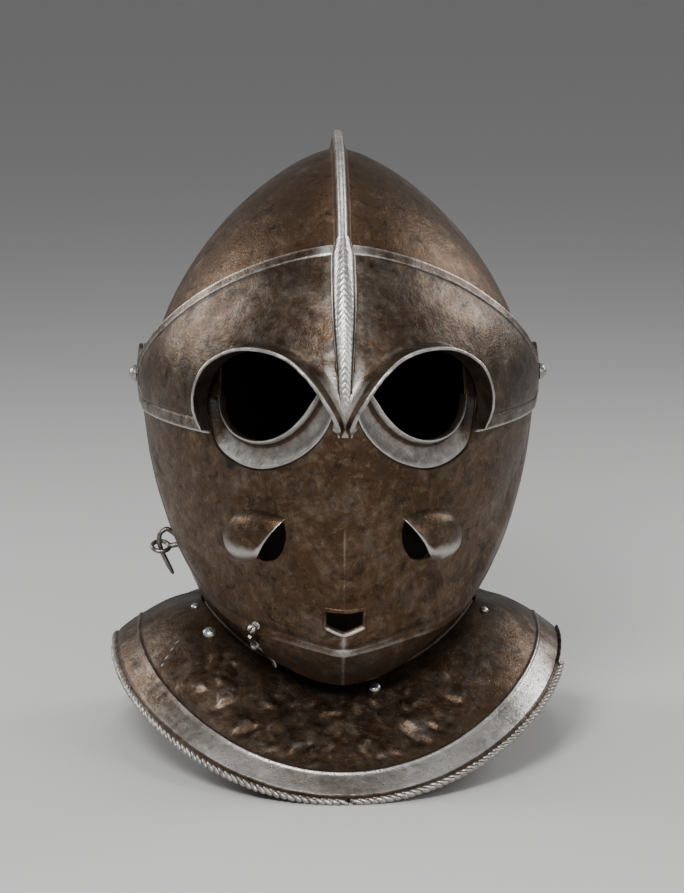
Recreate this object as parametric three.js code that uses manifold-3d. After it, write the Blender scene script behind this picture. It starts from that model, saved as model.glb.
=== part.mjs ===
// Savoyard helmet: a closed helmet of 2 mm steel plates with a mask-like face and a two-part gorget.
// Millimetres, +Z up. The face looks along -Y and the helmet stands on its gorget rim at Z = 0.
import * as THREE from 'three';
import { mergeVertices } from 'three/addons/utils/BufferGeometryUtils.js';
import Module from 'manifold-3d';

const wasm = await Module();
wasm.setup();

// Driving dimensions: the layers of plate
const PLATE = 1.8;
const SKULL_PLATE = 2;
const RUNNING_GAP = 0.8; // between plates that slide over each other
const SEAT_GAP = 0.3; // between pieces that are riveted together
const SKULL_HALF_WIDTH = 103.7;
const FACE_LIFT = 2 * (RUNNING_GAP + PLATE); // outer faces, measured out from the skull's
const BROW_LIFT = 3 * (RUNNING_GAP + PLATE);
const BEVOR_SINK = -(RUNNING_GAP + PLATE); // the bevor's outer face, measured from the face plate's
const PATCH_COLUMNS = 14;
const PATCH_ANGLES = [ // every plate has its rows at these angles, so that the plates nest
  -88, -80, -72, -64, -56, -48, -40, -32, -24, -16, -8, 0, 12, 20, 36, 53, 70, 87, 104, 121,
  138, 155, 172, 190, 206, 220, 232, 245, 258,
];

// Driving dimensions: where the plates end, as angles about the pivot axis, 0 in front, 90 above
const SKULL_FROM = 20;
const SKULL_TO = 272;
const FACE_TOP = 12;
const BROW_TOP = 41.5;
const BROW_LOW_Z = -16;
const BROW_PATCH_FROM = -34; // far enough down to reach that level beside the ears
const BEVOR_REAR = -96;
const BEVOR_TOP = -47.5;
const BEVOR_TOP_SWEEP = 14;
const SEAM_EASE = 0.3; // the bevor sits this much deeper under the face plate than at the ears
const SEAM = -50; // the face plate's lower edge at the keel
const SEAM_SWEEP = 25.5; // and how much lower it runs at the side

// Driving dimensions: pivots
const PIVOT_HEIGHT = 204; // from the floor to the axis on which the plates turn
const PIVOT_BACKWARD = 9.85; // how far the axis lies behind the middle of the footprint
const EAR_RADIUS = 16.5;
const EAR_LAP = 1; // the plate round an ear runs this far under it
const EAR_SIDES = 12;
const EAR_EXTRA = 0.1; // an ear is this much thicker than its plate on either face
const EAR_FORM = { radius: 150, round: 1.75, side: 1.7 };
const BOLT_RADIUS = 2.2;
const BOLT_BORE = 2.6;
const BOLT_HEAD = 4.75;
const BOLT_HEAD_HEIGHT = 4.2;

// Driving dimensions: comb and ridge
const COMB_CREST = 134.5;
const COMB_FROM = 20.4;
const COMB_TO = 170;
const COMB_SECTION = [ // half width at a distance from the pivot axis
  { radius: 122, half: 3.8 },
  { radius: 130, half: 2.8 },
  { radius: 133.4, half: 1.9 },
  { radius: COMB_CREST, half: 0.8 },
];
const RIDGE_ROWS = [ // the hollow teardrop over the comb: crest, half width and inside clearance
  { angle: 0, crest: 141.7, half: 3 },
  { angle: 12, crest: 141, half: 5.2 },
  { angle: 24, crest: 139.6, half: 6.8 },
  { angle: 36, crest: 138, half: 7 },
  { angle: BROW_TOP, crest: 137.4, half: 6.6 },
];
const RIDGE_HOLLOW_FROM = 12;
const COMB_ROOM = [ // the room left for the comb under the ridge
  { radius: COMB_CREST - 15, half: 4.9 },
  { radius: COMB_CREST - 9, half: 4.7 },
  { radius: COMB_CREST - 4, half: 3.9 },
  { radius: COMB_CREST - 0.6, half: 2.8 },
  { radius: COMB_CREST + 0.9, half: 1.4 },
];

// Driving dimensions: eyes, in a frame that looks outwards from each eye
const EYE_CENTRE = new THREE.Vector3(42, -115, 0);
const EYE_TURN = 35; // towards the side
const EYE_TILT = 8; // upwards
const HOOD_WALL = 1.8;
const HOOD_ROWS = [ // the rim of the brow hood: towards the side, up, and height over the plate
  { u: 34, v: -14, height: 8 },
  { u: 36, v: -4, height: 11 },
  { u: 34.5, v: 8, height: 12.5 },
  { u: 27, v: 20, height: 13 },
  { u: 13, v: 28.5, height: 12.5 },
  { u: -3, v: 31, height: 12 },
  { u: -20, v: 28.5, height: 12 },
  { u: -33, v: 20.5, height: 11.5 },
  { u: -42, v: 10, height: 10 },
  { u: -48, v: -1, height: 6.5 },
  { u: -52, v: -11, height: 1.5 },
];
const LID_ROWS = [ // the raised edge under the eye
  { u: -35, v: 15 },
  { u: -31, v: 7.5 },
  { u: -25, v: -1.5 },
  { u: -16, v: -10 },
  { u: -5, v: -15.5 },
  { u: 8, v: -17.3 },
  { u: 20, v: -14.3 },
  { u: 28, v: -6.5 },
  { u: 30.5, v: 5 },
];
const SOCKET_ROWS = [ // the outer line of the dished socket
  { u: -42, v: 12.5 },
  { u: -41.5, v: 0 },
  { u: -36.5, v: -10.5 },
  { u: -28, v: -19.5 },
  { u: -14, v: -28 },
  { u: 4, v: -32.5 },
  { u: 22, v: -29.5 },
  { u: 34.5, v: -21 },
  { u: 39, v: 3 },
];
const SOCKET_SECTION = [ // share of the way from the socket's line to the lid, and height
  { share: -0.14, top: -0.9, under: -1.9 },
  { share: 0.5, top: -3.8, under: -5.6 },
  { share: 0.86, top: -4.4, under: -6.2 },
  { share: 1.05, top: 0.2, under: -5 },
];
const SOCKET_STEPS = 9;
const HOOD_STEPS = 12;
const EYE_INNER_SPLAY = 9;
const EYE_ABOVE = 45; // the notches run up past the top of the face plate
const NOTCH_BELOW = -60;
const EYE_CUT = { low: -45, high: 60 }; // depth of the notches, inwards and outwards

// Driving dimensions: breaths, mouth and gorget
const BREATH_HEIGHT = 10.5;
const BREATH_WALL = 1.6;
const BREATH_LIP = [{ x: 31, z: -57 }, { x: 36, z: -67 }, { x: 40, z: -76 }, { x: 45.5, z: -83 }];
const BREATH_BACK = [ // the outline that sinks into the plate, round the side away from the nose
  { x: 33, z: -56 },
  { x: 45, z: -55 },
  { x: 57, z: -58.5 },
  { x: 62.5, z: -68 },
  { x: 61.5, z: -78 },
  { x: 55, z: -83.5 },
  { x: 48, z: -84 },
];
const BREATH_HOLE = [
  { x: 31.5, z: -59 },
  { x: 30.5, z: -67 },
  { x: 32.5, z: -75.5 },
  { x: 37, z: -81.5 },
  { x: 44.5, z: -82 },
  { x: 46, z: -74 },
  { x: 40, z: -64 },
];
const MOUTH_CENTRE = { x: 0, z: -112.3 };
const MOUTH_OUTLINE = [ // a flat hexagon, across and up
  { u: -10, v: 4.4 },
  { u: 0, v: 3.6 },
  { u: 10, v: 4.4 },
  { u: 9.6, v: -3.6 },
  { u: 0.6, v: -5.6 },
  { u: -9.8, v: -3 },
];
const MOUTH_TILT = -38;
const MOUTH_FRAME = 2.2;
const MOUTH_RISE = 0.9;
const SLOT_CUT = 12; // depth of the cut that opens the mouth and the breaths
const NECK = { halfWidth: 73.5, front: 66, rear: 74, low: -230, high: -90, sides: 20 };
const COLLAR = { halfWidth: 76.8, front: 71.6, rear: 77.5, gap: 1.1 };
const RIM = { halfWidth: 127, front: 152, rear: 132, side: -152, low: -203.2 };
const SHOULDER = 6; // the rims run straight over the shoulders for this much before and behind
const FRONT_LAME_END = 10; // y at which the front lame ends, outside the rear one
const FLARE = 1.75; // how late the gorget turns down over the shoulders
const FLARE_FRONT = 1.15; // and under the chin
const LAME_GAP = 0.5;
const BACK_LEVEL = 30; // degrees each side of the back over which the rim stands level
const BEAD = 2.3; // radius of the rolled rim
const BEAD_TURNS = [150, 90, 35, -20, -80, -150];
const PLAIN_END = 0.45; // how far short a place without bead ends, as a share of the last strip
const GORGET_SHARES = [0, 0.11, 0.24, 0.48, 0.74, 0.98]; // rows of points from collar to rim
const FLANGE_SHARE = 0.24; // width of the neck flange, as a share of the gorget's
const FLANGE_PLATE = 1.5;
const FLANGE_EASE = 0.4; // extra depth under the gorget's flat facets
const NAPE_FLANGE_ROOT = { inwards: 2.5, up: 8.5 }; // where each flange leaves the shell that carries it
const CHIN_FLANGE_ROOT = { inwards: 2.5, up: 5.5 };

// Driving dimensions: rivets, hooks and studs
const RIVET_SHANK = 1.3;
const RIVET_BORE = 1.6;
const TAIL_GAP = 0.8; // under the hammered end inside
const FRONT_RIVETS = [ // azimuth from the front, share of the way to the rim, head radius
  { name: 'gorget_rivet_left_rear', azimuth: -76, share: 0.11, head: 2.5 },
  { name: 'gorget_rivet_left', azimuth: -57, share: 0.17, head: 4 },
  { name: 'gorget_rivet_centre', azimuth: 12, share: 0.15, head: 3.4 },
  { name: 'gorget_rivet_right', azimuth: 72, share: 0.15, head: 2.5 },
];
const REAR_RIVETS = [
  { name: 'nape_rivet_left', azimuth: -135, share: 0.14, head: 2.5 },
  { name: 'nape_rivet_centre', azimuth: 180, share: 0.14, head: 2.5 },
  { name: 'nape_rivet_right', azimuth: 135, share: 0.14, head: 2.5 },
];

const CHIN_HOOK = {
  angle: -58.9, // place of its rivet on the bevor
  share: -0.425,
  low: 0.4, // the hub's faces, above the bevor
  high: 4.6,
  hub: 2.8,
  bore: 1.3,
  pin: 1,
  head: 2,
  headHeight: 1.3,
  shortOf: 0.5, // the arm ends this far from the stud's neck
};
const CHIN_ARM_ROWS = [ // share of the reach, half width, underside above the bevor, thickness
  { u: 0, along: 0, half: 1.9, low: 2.9, thick: 1.6 },
  { u: -0.6, along: 0.4, half: 1.7, low: 3, thick: 1.6 },
  { u: -0.4, along: 0.8, half: 1.4, low: 3.6, thick: 1.5 },
  { u: 0, along: 1, half: 1, low: 3.8, thick: 1.3 },
];
const CHIN_HANDLE_ROWS = [
  { u: 0, v: 0, half: 1.9, low: 2.4, thick: 1.8 },
  { u: 5, v: -4.5, half: 1.7, low: 1.8, thick: 1.7 },
  { u: 9.5, v: -9, half: 1.6, low: 2.2, thick: 1.7 },
  { u: 12, v: -11.5, half: 1.5, low: 4, thick: 1.6 },
];
const CHIN_STUD_ABOVE_SEAM = 1.7; // degrees
const CHIN_STUD = { base: 2.5, neck: 1.3, ball: 2.6, ballHeight: 4.6 };
const SIDE_STUD = {
  angle: -79,
  share: -0.83,
  out: 11.5, // to the middle of its eye
  down: 1,
  tilt: 23, // the eye's front edge is lower by this angle
  ring: 4.8,
  wireRadius: 1.25,
  stalk: 1.5,
  collar: 2.1,
  collarFrom: 1,
  collarTo: 2.2,
};
const SIDE_HOOK = { above: 4.6, wireRadius: 1.35 };
const SIDE_HOOK_ROWS = [ // out from the bevor and up from the stud; the first row is the root
  { out: 0, up: 4.6 },
  { out: 2.4, up: 4.6 },
  { out: 4, up: 6 },
  { out: 8, up: 8.6 },
  { out: 11.6, up: 6.4 },
  { out: 12.4, up: 2 },
  { out: 11.2, up: -3 },
  { out: 8.6, up: -9 },
  { out: 4.6, up: -17 },
];

const rad = THREE.MathUtils.degToRad;
const vec = (x, y, z) => new THREE.Vector3(x, y, z);
function range(count, from, to) {
  return Array.from({ length: count + 1 }, (_, i) => from + (to - from) * i / count);
}
const turns = (count) => range(count - 1, 0, 360 - 360 / count); // evenly round a circle, in degrees

// Forms. At an angle about the pivot axis a plate's outline is
// (distance / radius)^round + (sideways / half width)^side = 1.
const SKULL_ROWS = [
  { angle: 0, radius: 124.5, round: 1.75, side: 1.6 },
  { angle: 37, radius: 124.5, round: 1.75, side: 1.6 },
  { angle: 90, radius: 124.5, round: 1.63, side: 1.5 },
  { angle: 150, radius: 124.5, round: 1.63, side: 1.5 },
  { angle: 180, radius: 124.5, round: 1.85, side: 1.75 },
  { angle: 210, radius: 125, round: 1.9, side: 1.9 },
  { angle: 225, radius: 131, round: 1.85, side: 2 },
  { angle: 238, radius: 146, round: 1.8, side: 2.1 },
  { angle: 252, radius: 168, round: 1.75, side: 2.24 },
  { angle: 270, radius: 181, round: 1.7, side: 2.24 },
  { angle: 294, radius: 167, round: 1.7, side: 2.3 },
];
const FACE_ROWS = [
  { angle: -122, radius: 150.6, round: 1.8, side: 2.1 },
  { angle: -108, radius: 173, round: 1.75, side: 2.24 },
  { angle: -90, radius: 186, round: 1.7, side: 2.24 },
  { angle: -66, radius: 172, round: 1.7, side: 2.3 },
  { angle: -58, radius: 184, round: 1.75, side: 1.8 },
  { angle: -50, radius: 175, round: 1.8, side: 1.5 },
  { angle: -43, radius: 165, round: 1.85, side: 1.42 },
  { angle: -25, radius: 147.5, round: 1.85, side: 1.4 },
  { angle: -12, radius: 139.4, round: 1.85, side: 1.42 },
  { angle: -6, radius: 138.1, round: 1.85, side: 1.43 },
  { angle: 10, radius: 137.2, round: 1.8, side: 1.45 },
  { angle: 40, radius: 134, round: 1.75, side: 1.6 },
];
const BROW_ROWS = [
  { angle: -60, radius: 143, round: 1.86, side: 1.5 },
  { angle: -10, radius: 140.8, round: 1.86, side: 1.5 },
  { angle: 10, radius: 139.6, round: 1.84, side: 1.55 },
  { angle: 25, radius: 134.6, round: 1.8, side: 1.6 },
  { angle: 37, radius: 128.7, round: 1.75, side: 1.6 },
  { angle: 60, radius: 127.4, round: 1.7, side: 1.55 },
];

// Smooth curve through one column of a table, with the slope at a row taken from its neighbours.
function columnAt(rows, column, angle) {
  const last = rows.length - 1;
  const at = THREE.MathUtils.clamp(angle, rows[0].angle, rows[last].angle);
  let i = 0;
  while (i < last - 1 && at > rows[i + 1].angle) i += 1;
  const slope = (k) => {
    const low = rows[Math.max(k - 1, 0)];
    const high = rows[Math.min(k + 1, last)];
    return (high[column] - low[column]) / (high.angle - low.angle);
  };
  const span = rows[i + 1].angle - rows[i].angle;
  const t = (at - rows[i].angle) / span;
  const rise = t * t * (3 - 2 * t);
  const bend = slope(i) * span * t * (1 - t) * (1 - t) - slope(i + 1) * span * t * t * (1 - t);
  return rows[i][column] * (1 - rise) + rows[i + 1][column] * rise + bend;
}

const skullForm = { rows: SKULL_ROWS, halfWidth: SKULL_HALF_WIDTH };
const faceForm = { rows: FACE_ROWS, halfWidth: SKULL_HALF_WIDTH + FACE_LIFT };
const browForm = { rows: BROW_ROWS, halfWidth: SKULL_HALF_WIDTH + BROW_LIFT };

function polar(distance, angle, x) {
  return vec(x, -distance * Math.cos(rad(angle)), distance * Math.sin(rad(angle)));
}

// Point of a form at an angle and a share of its half width, moved out by an offset.
function formPoint(form, angle, share, offset = 0) {
  const round = columnAt(form.rows, 'round', angle);
  const side = columnAt(form.rows, 'side', angle);
  const radius = columnAt(form.rows, 'radius', angle) + offset;
  const distance = radius * Math.max(1 - Math.abs(share) ** side, 0) ** (1 / round);
  return polar(distance, angle, share * (form.halfWidth + offset));
}

// Above zero outside the form, below zero inside it.
function formSide(form, point, offset = 0) {
  const degrees = THREE.MathUtils.radToDeg(Math.atan2(point.z, -point.y));
  const angle = form === skullForm && degrees < 0 ? degrees + 360 : degrees;
  const round = columnAt(form.rows, 'round', angle);
  const side = columnAt(form.rows, 'side', angle);
  const radius = columnAt(form.rows, 'radius', angle) + offset;
  const distance = Math.hypot(point.y, point.z);
  return (distance / radius) ** round + (Math.abs(point.x) / (form.halfWidth + offset)) ** side - 1;
}

// Where a line meets the form, coming in from a distance of reach along its direction.
function meetForm(form, through, direction, offset = 0, reach = 150) {
  const at = (d) => through.clone().addScaledVector(direction, d);
  let outside = reach;
  const step = 2;
  while (outside > -reach && formSide(form, at(outside - step), offset) > 0) outside -= step;
  let inside = outside - step;
  for (let i = 0; i < 24; i += 1) {
    const middle = (outside + inside) / 2;
    if (formSide(form, at(middle), offset) > 0) outside = middle;
    else inside = middle;
  }
  return at(inside);
}

function formNormal(form, point, offset = 0) {
  const step = 0.5;
  const slope = (axis) => {
    const ahead = point.clone();
    const behind = point.clone();
    ahead[axis] += step;
    behind[axis] -= step;
    return formSide(form, ahead, offset) - formSide(form, behind, offset);
  };
  return vec(slope('x'), slope('y'), slope('z')).normalize();
}

// Solids. Every closed mesh goes through here, and one that comes out inside out is turned over.
function solidOf(points, triangles) {
  let volume = 0;
  for (let i = 0; i < triangles.length; i += 3) {
    const [a, b, c] = [points[triangles[i]], points[triangles[i + 1]], points[triangles[i + 2]]];
    volume += a.dot(b.clone().cross(c));
  }
  const faces = volume < 0 ? triangles.slice().reverse() : triangles;
  return new wasm.Manifold(new wasm.Mesh({
    numProp: 3,
    vertProperties: new Float32Array(points.flatMap((p) => p.toArray())),
    triVerts: new Uint32Array(faces),
  }));
}

function solidOfGeometry(geometry, place = new THREE.Matrix4()) {
  const plain = geometry.clone().applyMatrix4(place);
  plain.deleteAttribute('normal');
  plain.deleteAttribute('uv');
  const merged = mergeVertices(plain, 1e-4);
  const { position } = merged.attributes;
  const points = Array.from({ length: position.count }, (_, i) => vec().fromBufferAttribute(position, i));
  return solidOf(points, Array.from(merged.index.array));
}

// Plate between two grids of points, outer[i][j] and inner[i][j]. With ring, the rows close.
function slab(outer, inner, ring = false) {
  const rows = outer.length;
  const columns = outer[0].length;
  const points = [...outer.flat(), ...inner.flat()];
  const out = (i, j) => (i % rows) * columns + j;
  const inn = (i, j) => rows * columns + out(i, j);
  const triangles = [];
  const quad = (a, b, c, d) => triangles.push(a, b, c, a, c, d);
  const last = ring ? rows : rows - 1;
  for (let i = 0; i < last; i += 1) {
    for (let j = 0; j < columns - 1; j += 1) {
      quad(out(i, j), out(i + 1, j), out(i + 1, j + 1), out(i, j + 1));
      quad(inn(i, j), inn(i, j + 1), inn(i + 1, j + 1), inn(i + 1, j));
    }
    quad(out(i + 1, 0), out(i, 0), inn(i, 0), inn(i + 1, 0));
    quad(out(i, columns - 1), out(i + 1, columns - 1), inn(i + 1, columns - 1), inn(i, columns - 1));
  }
  if (!ring) {
    for (let j = 0; j < columns - 1; j += 1) {
      quad(out(0, j), out(0, j + 1), inn(0, j + 1), inn(0, j));
      quad(out(rows - 1, j + 1), out(rows - 1, j), inn(rows - 1, j), inn(rows - 1, j + 1));
    }
  }
  return solidOf(points, triangles);
}

// Bar whose section changes along its way: sections[i] is a closed outline of points.
function bar(sections) {
  const size = sections[0].length;
  const triangles = [];
  for (let i = 0; i < sections.length - 1; i += 1) {
    for (let j = 0; j < size; j += 1) {
      const [a, b] = [i * size, (i + 1) * size];
      const k = (j + 1) % size;
      triangles.push(a + j, b + j, b + k, a + j, b + k, a + k);
    }
  }
  const end = (sections.length - 1) * size;
  for (const [p, q, r] of capFaces(sections[0])) triangles.push(p, q, r);
  for (const [p, q, r] of capFaces(sections[sections.length - 1])) triangles.push(end + p, end + r, end + q);
  return solidOf(sections.flat(), triangles);
}

// Triangles over a nearly flat outline, all turned the way that the outline runs.
function capFaces(outline) {
  const normal = vec(0, 0, 0);
  outline.forEach((p, i) => {
    const next = outline[(i + 1) % outline.length];
    normal.add(p.clone().sub(outline[0]).cross(next.clone().sub(outline[0])));
  });
  normal.normalize();
  const across = outline[1].clone().sub(outline[0]).projectOnPlane(normal).normalize();
  const along = normal.clone().cross(across);
  const flat = outline.map((p) => new THREE.Vector2(p.dot(across), p.dot(along)));
  return THREE.ShapeUtils.triangulateShape(flat, []).map(([p, q, r]) => {
    const toQ = flat[q].clone().sub(flat[p]);
    const toR = flat[r].clone().sub(flat[p]);
    return toQ.cross(toR) > 0 ? [p, q, r] : [p, r, q];
  });
}

// Prism over an outline given in a frame of three directions, from low to high along the third.
function prism(outline, frame, low, high) {
  const place = (p, w) => frame.centre.clone()
    .addScaledVector(frame.u, p.u)
    .addScaledVector(frame.v, p.v)
    .addScaledVector(frame.w, w);
  return bar([outline.map((p) => place(p, low)), outline.map((p) => place(p, high))]);
}

function rod(from, to, radius, sides = 12) {
  const direction = to.clone().sub(from);
  const geometry = new THREE.CylinderGeometry(radius, radius, direction.length(), sides);
  const turn = new THREE.Quaternion().setFromUnitVectors(vec(0, 1, 0), direction.clone().normalize());
  const middle = from.clone().add(to).multiplyScalar(0.5);
  return solidOfGeometry(geometry, new THREE.Matrix4().compose(middle, turn, vec(1, 1, 1)));
}

function mirrored(solid) {
  const { vertProperties, triVerts } = solid.getMesh();
  const points = [];
  for (let i = 0; i < vertProperties.length; i += 3) {
    points.push(vec(-vertProperties[i], vertProperties[i + 1], vertProperties[i + 2]));
  }
  return solidOf(points, Array.from(triVerts));
}
const withMirror = (solid) => solid.add(mirrored(solid));

// Smooth curve through short rows, sampled into rows of the same columns.
function sampled(rows, columns, count) {
  const [a, b, c] = columns;
  const points = rows.map((row) => vec(row[a], row[b], c ? row[c] : 0));
  const curve = new THREE.CatmullRomCurve3(points, false, 'centripetal');
  return curve.getPoints(count).map((p) => ({ [a]: p.x, [b]: p.y, ...(c ? { [c]: p.z } : {}) }));
}

// Plates
const shares = range(PATCH_COLUMNS, -1, 1).map((t) => Math.sin(t * Math.PI / 2));

// Share of the half width at which a form comes within the ear's edge.
function shareAtEar(form, angle) {
  const round = columnAt(form.rows, 'round', angle);
  const side = columnAt(form.rows, 'side', angle);
  const radius = columnAt(form.rows, 'radius', angle);
  return (1 - ((EAR_RADIUS - EAR_LAP) / radius) ** round) ** (1 / side);
}

// Patch of a form between two edges, each an angle for a share of the half width.
function patch(form, low, high, outside, thickness) {
  const lowest = Math.min(...shares.map(low));
  const highest = Math.max(...shares.map(high));
  const between = PATCH_ANGLES.filter((angle) => angle > lowest + 1 && angle < highest - 1);
  const grid = (offset) => [lowest, ...between, highest].map((row) => shares.map((share) => {
    const angle = THREE.MathUtils.clamp(row, low(share), high(share));
    return formPoint(form, angle, share * shareAtEar(form, angle), offset);
  }));
  return slab(grid(outside), grid(outside - thickness));
}

// Round ears over the pivots, the same dish for every plate so that they turn in each other.
function ears(halfWidth, thickness) {
  const dish = (distance, offset) => {
    const drop = 1 - (distance / EAR_FORM.radius) ** EAR_FORM.round;
    return (halfWidth + offset) * drop ** (1 / EAR_FORM.side);
  };
  const grid = (offset) => turns(EAR_SIDES).map((angle) => range(1, BOLT_BORE, EAR_RADIUS)
    .map((distance) => polar(distance, angle, dish(distance, offset))));
  return withMirror(slab(grid(EAR_EXTRA), grid(-thickness - EAR_EXTRA), true));
}

// Comb swept round the crown
function comb() {
  const outline = [
    ...COMB_SECTION.map(({ radius, half }) => ({ radius, x: half })),
    ...COMB_SECTION.slice().reverse().map(({ radius, half }) => ({ radius, x: -half })),
  ];
  const between = PATCH_ANGLES.filter((angle) => angle > COMB_FROM && angle < COMB_TO);
  return bar([COMB_FROM, ...between, COMB_TO]
    .map((angle) => outline.map(({ radius, x }) => polar(radius, angle, x))));
}

function neckCutter() {
  const outline = turns(NECK.sides).map((turn) => {
    const depth = Math.cos(rad(turn)) > 0 ? NECK.front : NECK.rear;
    return { u: NECK.halfWidth * Math.sin(rad(turn)), v: -depth * Math.cos(rad(turn)) };
  });
  const plan = { centre: vec(0, 0, 0), u: vec(1, 0, 0), v: vec(0, 1, 0), w: vec(0, 0, 1) };
  return prism(outline, plan, NECK.low, NECK.high);
}

// Gorget. Azimuth 0 is the front, 90 the viewer's right; the shoulders between the halves are straight.
function oval(size, azimuth) {
  const depth = Math.cos(rad(azimuth)) > 0 ? size.front : size.rear;
  const straight = Math.cos(rad(azimuth)) > 0 ? -SHOULDER : SHOULDER;
  const y = straight - (depth - SHOULDER) * Math.cos(rad(azimuth));
  return vec(size.halfWidth * Math.sin(rad(azimuth)), y, 0);
}

// Height of the head's outline over a point of the plan, on its lower side.
function collarPoint(azimuth) {
  const plan = oval(COLLAR, azimuth);
  return meetForm(lowerForm, vec(plan.x, plan.y, -120), vec(0, 0, -1), BEVOR_SINK + COLLAR.gap, 100);
}

const lowerForm = {
  rows: [
    ...SKULL_ROWS.filter(({ angle }) => angle > 180 && angle < 250)
      .map((row) => ({ ...row, angle: row.angle - 360, radius: row.radius + FACE_LIFT })),
    ...FACE_ROWS.filter(({ angle }) => angle > -110),
  ],
  halfWidth: SKULL_HALF_WIDTH + FACE_LIFT,
};

function rimHeight(azimuth) {
  const front = Math.cos(rad(azimuth)) > 0;
  const fromBack = Math.abs(180 - azimuth);
  const from = front ? azimuth : Math.max(fromBack - BACK_LEVEL, 0) * 90 / (90 - BACK_LEVEL);
  const rise = (Math.sin(rad(from)) ** 2 + 1 - Math.cos(rad(from))) / 2;
  return RIM.low + (RIM.side - RIM.low) * rise;
}

function gorgetPoint(azimuth, share) {
  const collar = collarPoint(azimuth);
  const rim = oval(RIM, azimuth);
  rim.z = rimHeight(azimuth);
  const point = collar.clone().lerp(rim, share);
  const ahead = Math.max(Math.cos(rad(azimuth)), 0) ** 2;
  point.z = collar.z + (rim.z - collar.z) * share ** (FLARE + (FLARE_FRONT - FLARE) * ahead);
  return point;
}

// Points across the gorget at one azimuth, with the outward normal of each.
const profiles = new Map();
function gorgetProfile(azimuth) {
  const key = azimuth.toFixed(4);
  if (!profiles.has(key)) {
    const step = 0.02;
    const side = 0.6;
    const rows = GORGET_SHARES.map((share) => {
      const along = gorgetPoint(azimuth, share + step).sub(gorgetPoint(azimuth, Math.max(share - step, 0)));
      const across = gorgetPoint(azimuth + side, share).sub(gorgetPoint(azimuth - side, share));
      return { point: gorgetPoint(azimuth, share), normal: across.cross(along).normalize().negate() };
    });
    rows.forEach((row) => { if (row.normal.z < 0) row.normal.negate(); });
    profiles.set(key, rows);
  }
  return profiles.get(key);
}

// Stations round the gorget: azimuths, some of them shifted straight back or forward.
const stations = (from, to, count) => range(count, from, to).map((azimuth) => ({ azimuth, shift: 0 }));

// Half of the gorget with the rolled bead along its rim; plain places have no bead and end short.
function lame(places, sink) {
  return bar(places.map(({ azimuth, shift, plain }) => {
    const profile = gorgetProfile(azimuth);
    const under = ({ point, normal }, depth) => point.clone().addScaledVector(normal, -depth);
    const sheet = profile.slice(0, -1);
    const { point, normal } = profile[profile.length - 1];
    const outwards = point.clone().sub(sheet[sheet.length - 1].point).normalize();
    const centre = under({ point, normal }, sink + PLATE / 2);
    if (plain) centre.lerp(under(sheet[sheet.length - 1], sink + PLATE / 2), PLAIN_END);
    const radius = plain ? PLATE / 2 : BEAD;
    const roll = BEAD_TURNS.map((turn) => centre.clone()
      .addScaledVector(outwards, radius * Math.cos(rad(turn)))
      .addScaledVector(normal, radius * Math.sin(rad(turn))));
    const outer = sheet.map((row) => under(row, sink));
    const inner = sheet.map((row) => under(row, sink + PLATE)).reverse();
    return [...outer, ...roll, ...inner].map((p) => p.add(vec(0, shift, 0)));
  }));
}

const frontPlaces = [
  { azimuth: -90, shift: SHOULDER + FRONT_LAME_END },
  ...stations(-90, 90, 18),
  { azimuth: 90, shift: SHOULDER + FRONT_LAME_END },
];
const BEHIND_FRONT_LAME = FRONT_LAME_END - SHOULDER + 1.5;
const rearPlaces = [
  { azimuth: 90.01, shift: -2 * SHOULDER, plain: true },
  { azimuth: 90.01, shift: BEHIND_FRONT_LAME - 0.7, plain: true },
  { azimuth: 90.01, shift: BEHIND_FRONT_LAME },
  ...stations(97, 263, 16),
  { azimuth: 269.99, shift: BEHIND_FRONT_LAME },
  { azimuth: 269.99, shift: BEHIND_FRONT_LAME - 0.7, plain: true },
  { azimuth: 269.99, shift: -2 * SHOULDER, plain: true },
];

const floorCutter = solidOfGeometry(
  new THREE.BoxGeometry(400, 400, 40),
  new THREE.Matrix4().makeTranslation(0, 0, -PIVOT_HEIGHT - 20),
);

// Rivets
function seatOf({ azimuth, share }, sink = 0) {
  const wrapped = azimuth < -90 ? azimuth + 360 : azimuth;
  const point = gorgetPoint(wrapped, share);
  const step = 0.02;
  const along = gorgetPoint(wrapped, share + step).sub(gorgetPoint(wrapped, share - step));
  const across = gorgetPoint(wrapped + 1, share).sub(gorgetPoint(wrapped - 1, share));
  const normal = across.cross(along).normalize();
  if (normal.z < 0) normal.negate();
  return { point: point.addScaledVector(normal, -sink), normal };
}

// A round piece turned from a profile of radius and height, seated at a point along a normal.
function turnedPiece(profile, seat, sides = 12) {
  const points = profile.map(({ radius, height }) => new THREE.Vector2(radius, height));
  const turn = new THREE.Quaternion().setFromUnitVectors(vec(0, 1, 0), seat.normal);
  const place = new THREE.Matrix4().compose(seat.point, turn, vec(1, 1, 1));
  return solidOfGeometry(new THREE.LatheGeometry(points, sides), place);
}

function rivet(seat, head, under) {
  const rise = head * 0.62;
  return turnedPiece([
    { radius: 0, height: rise + SEAT_GAP },
    { radius: head * 0.7, height: rise * 0.7 + SEAT_GAP },
    { radius: head, height: SEAT_GAP },
    { radius: RIVET_SHANK, height: SEAT_GAP },
    { radius: RIVET_SHANK, height: -under - TAIL_GAP },
    { radius: RIVET_SHANK * 1.8, height: -under - TAIL_GAP },
    { radius: 0, height: -under - TAIL_GAP - 1.2 },
  ], seat, 6);
}

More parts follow.
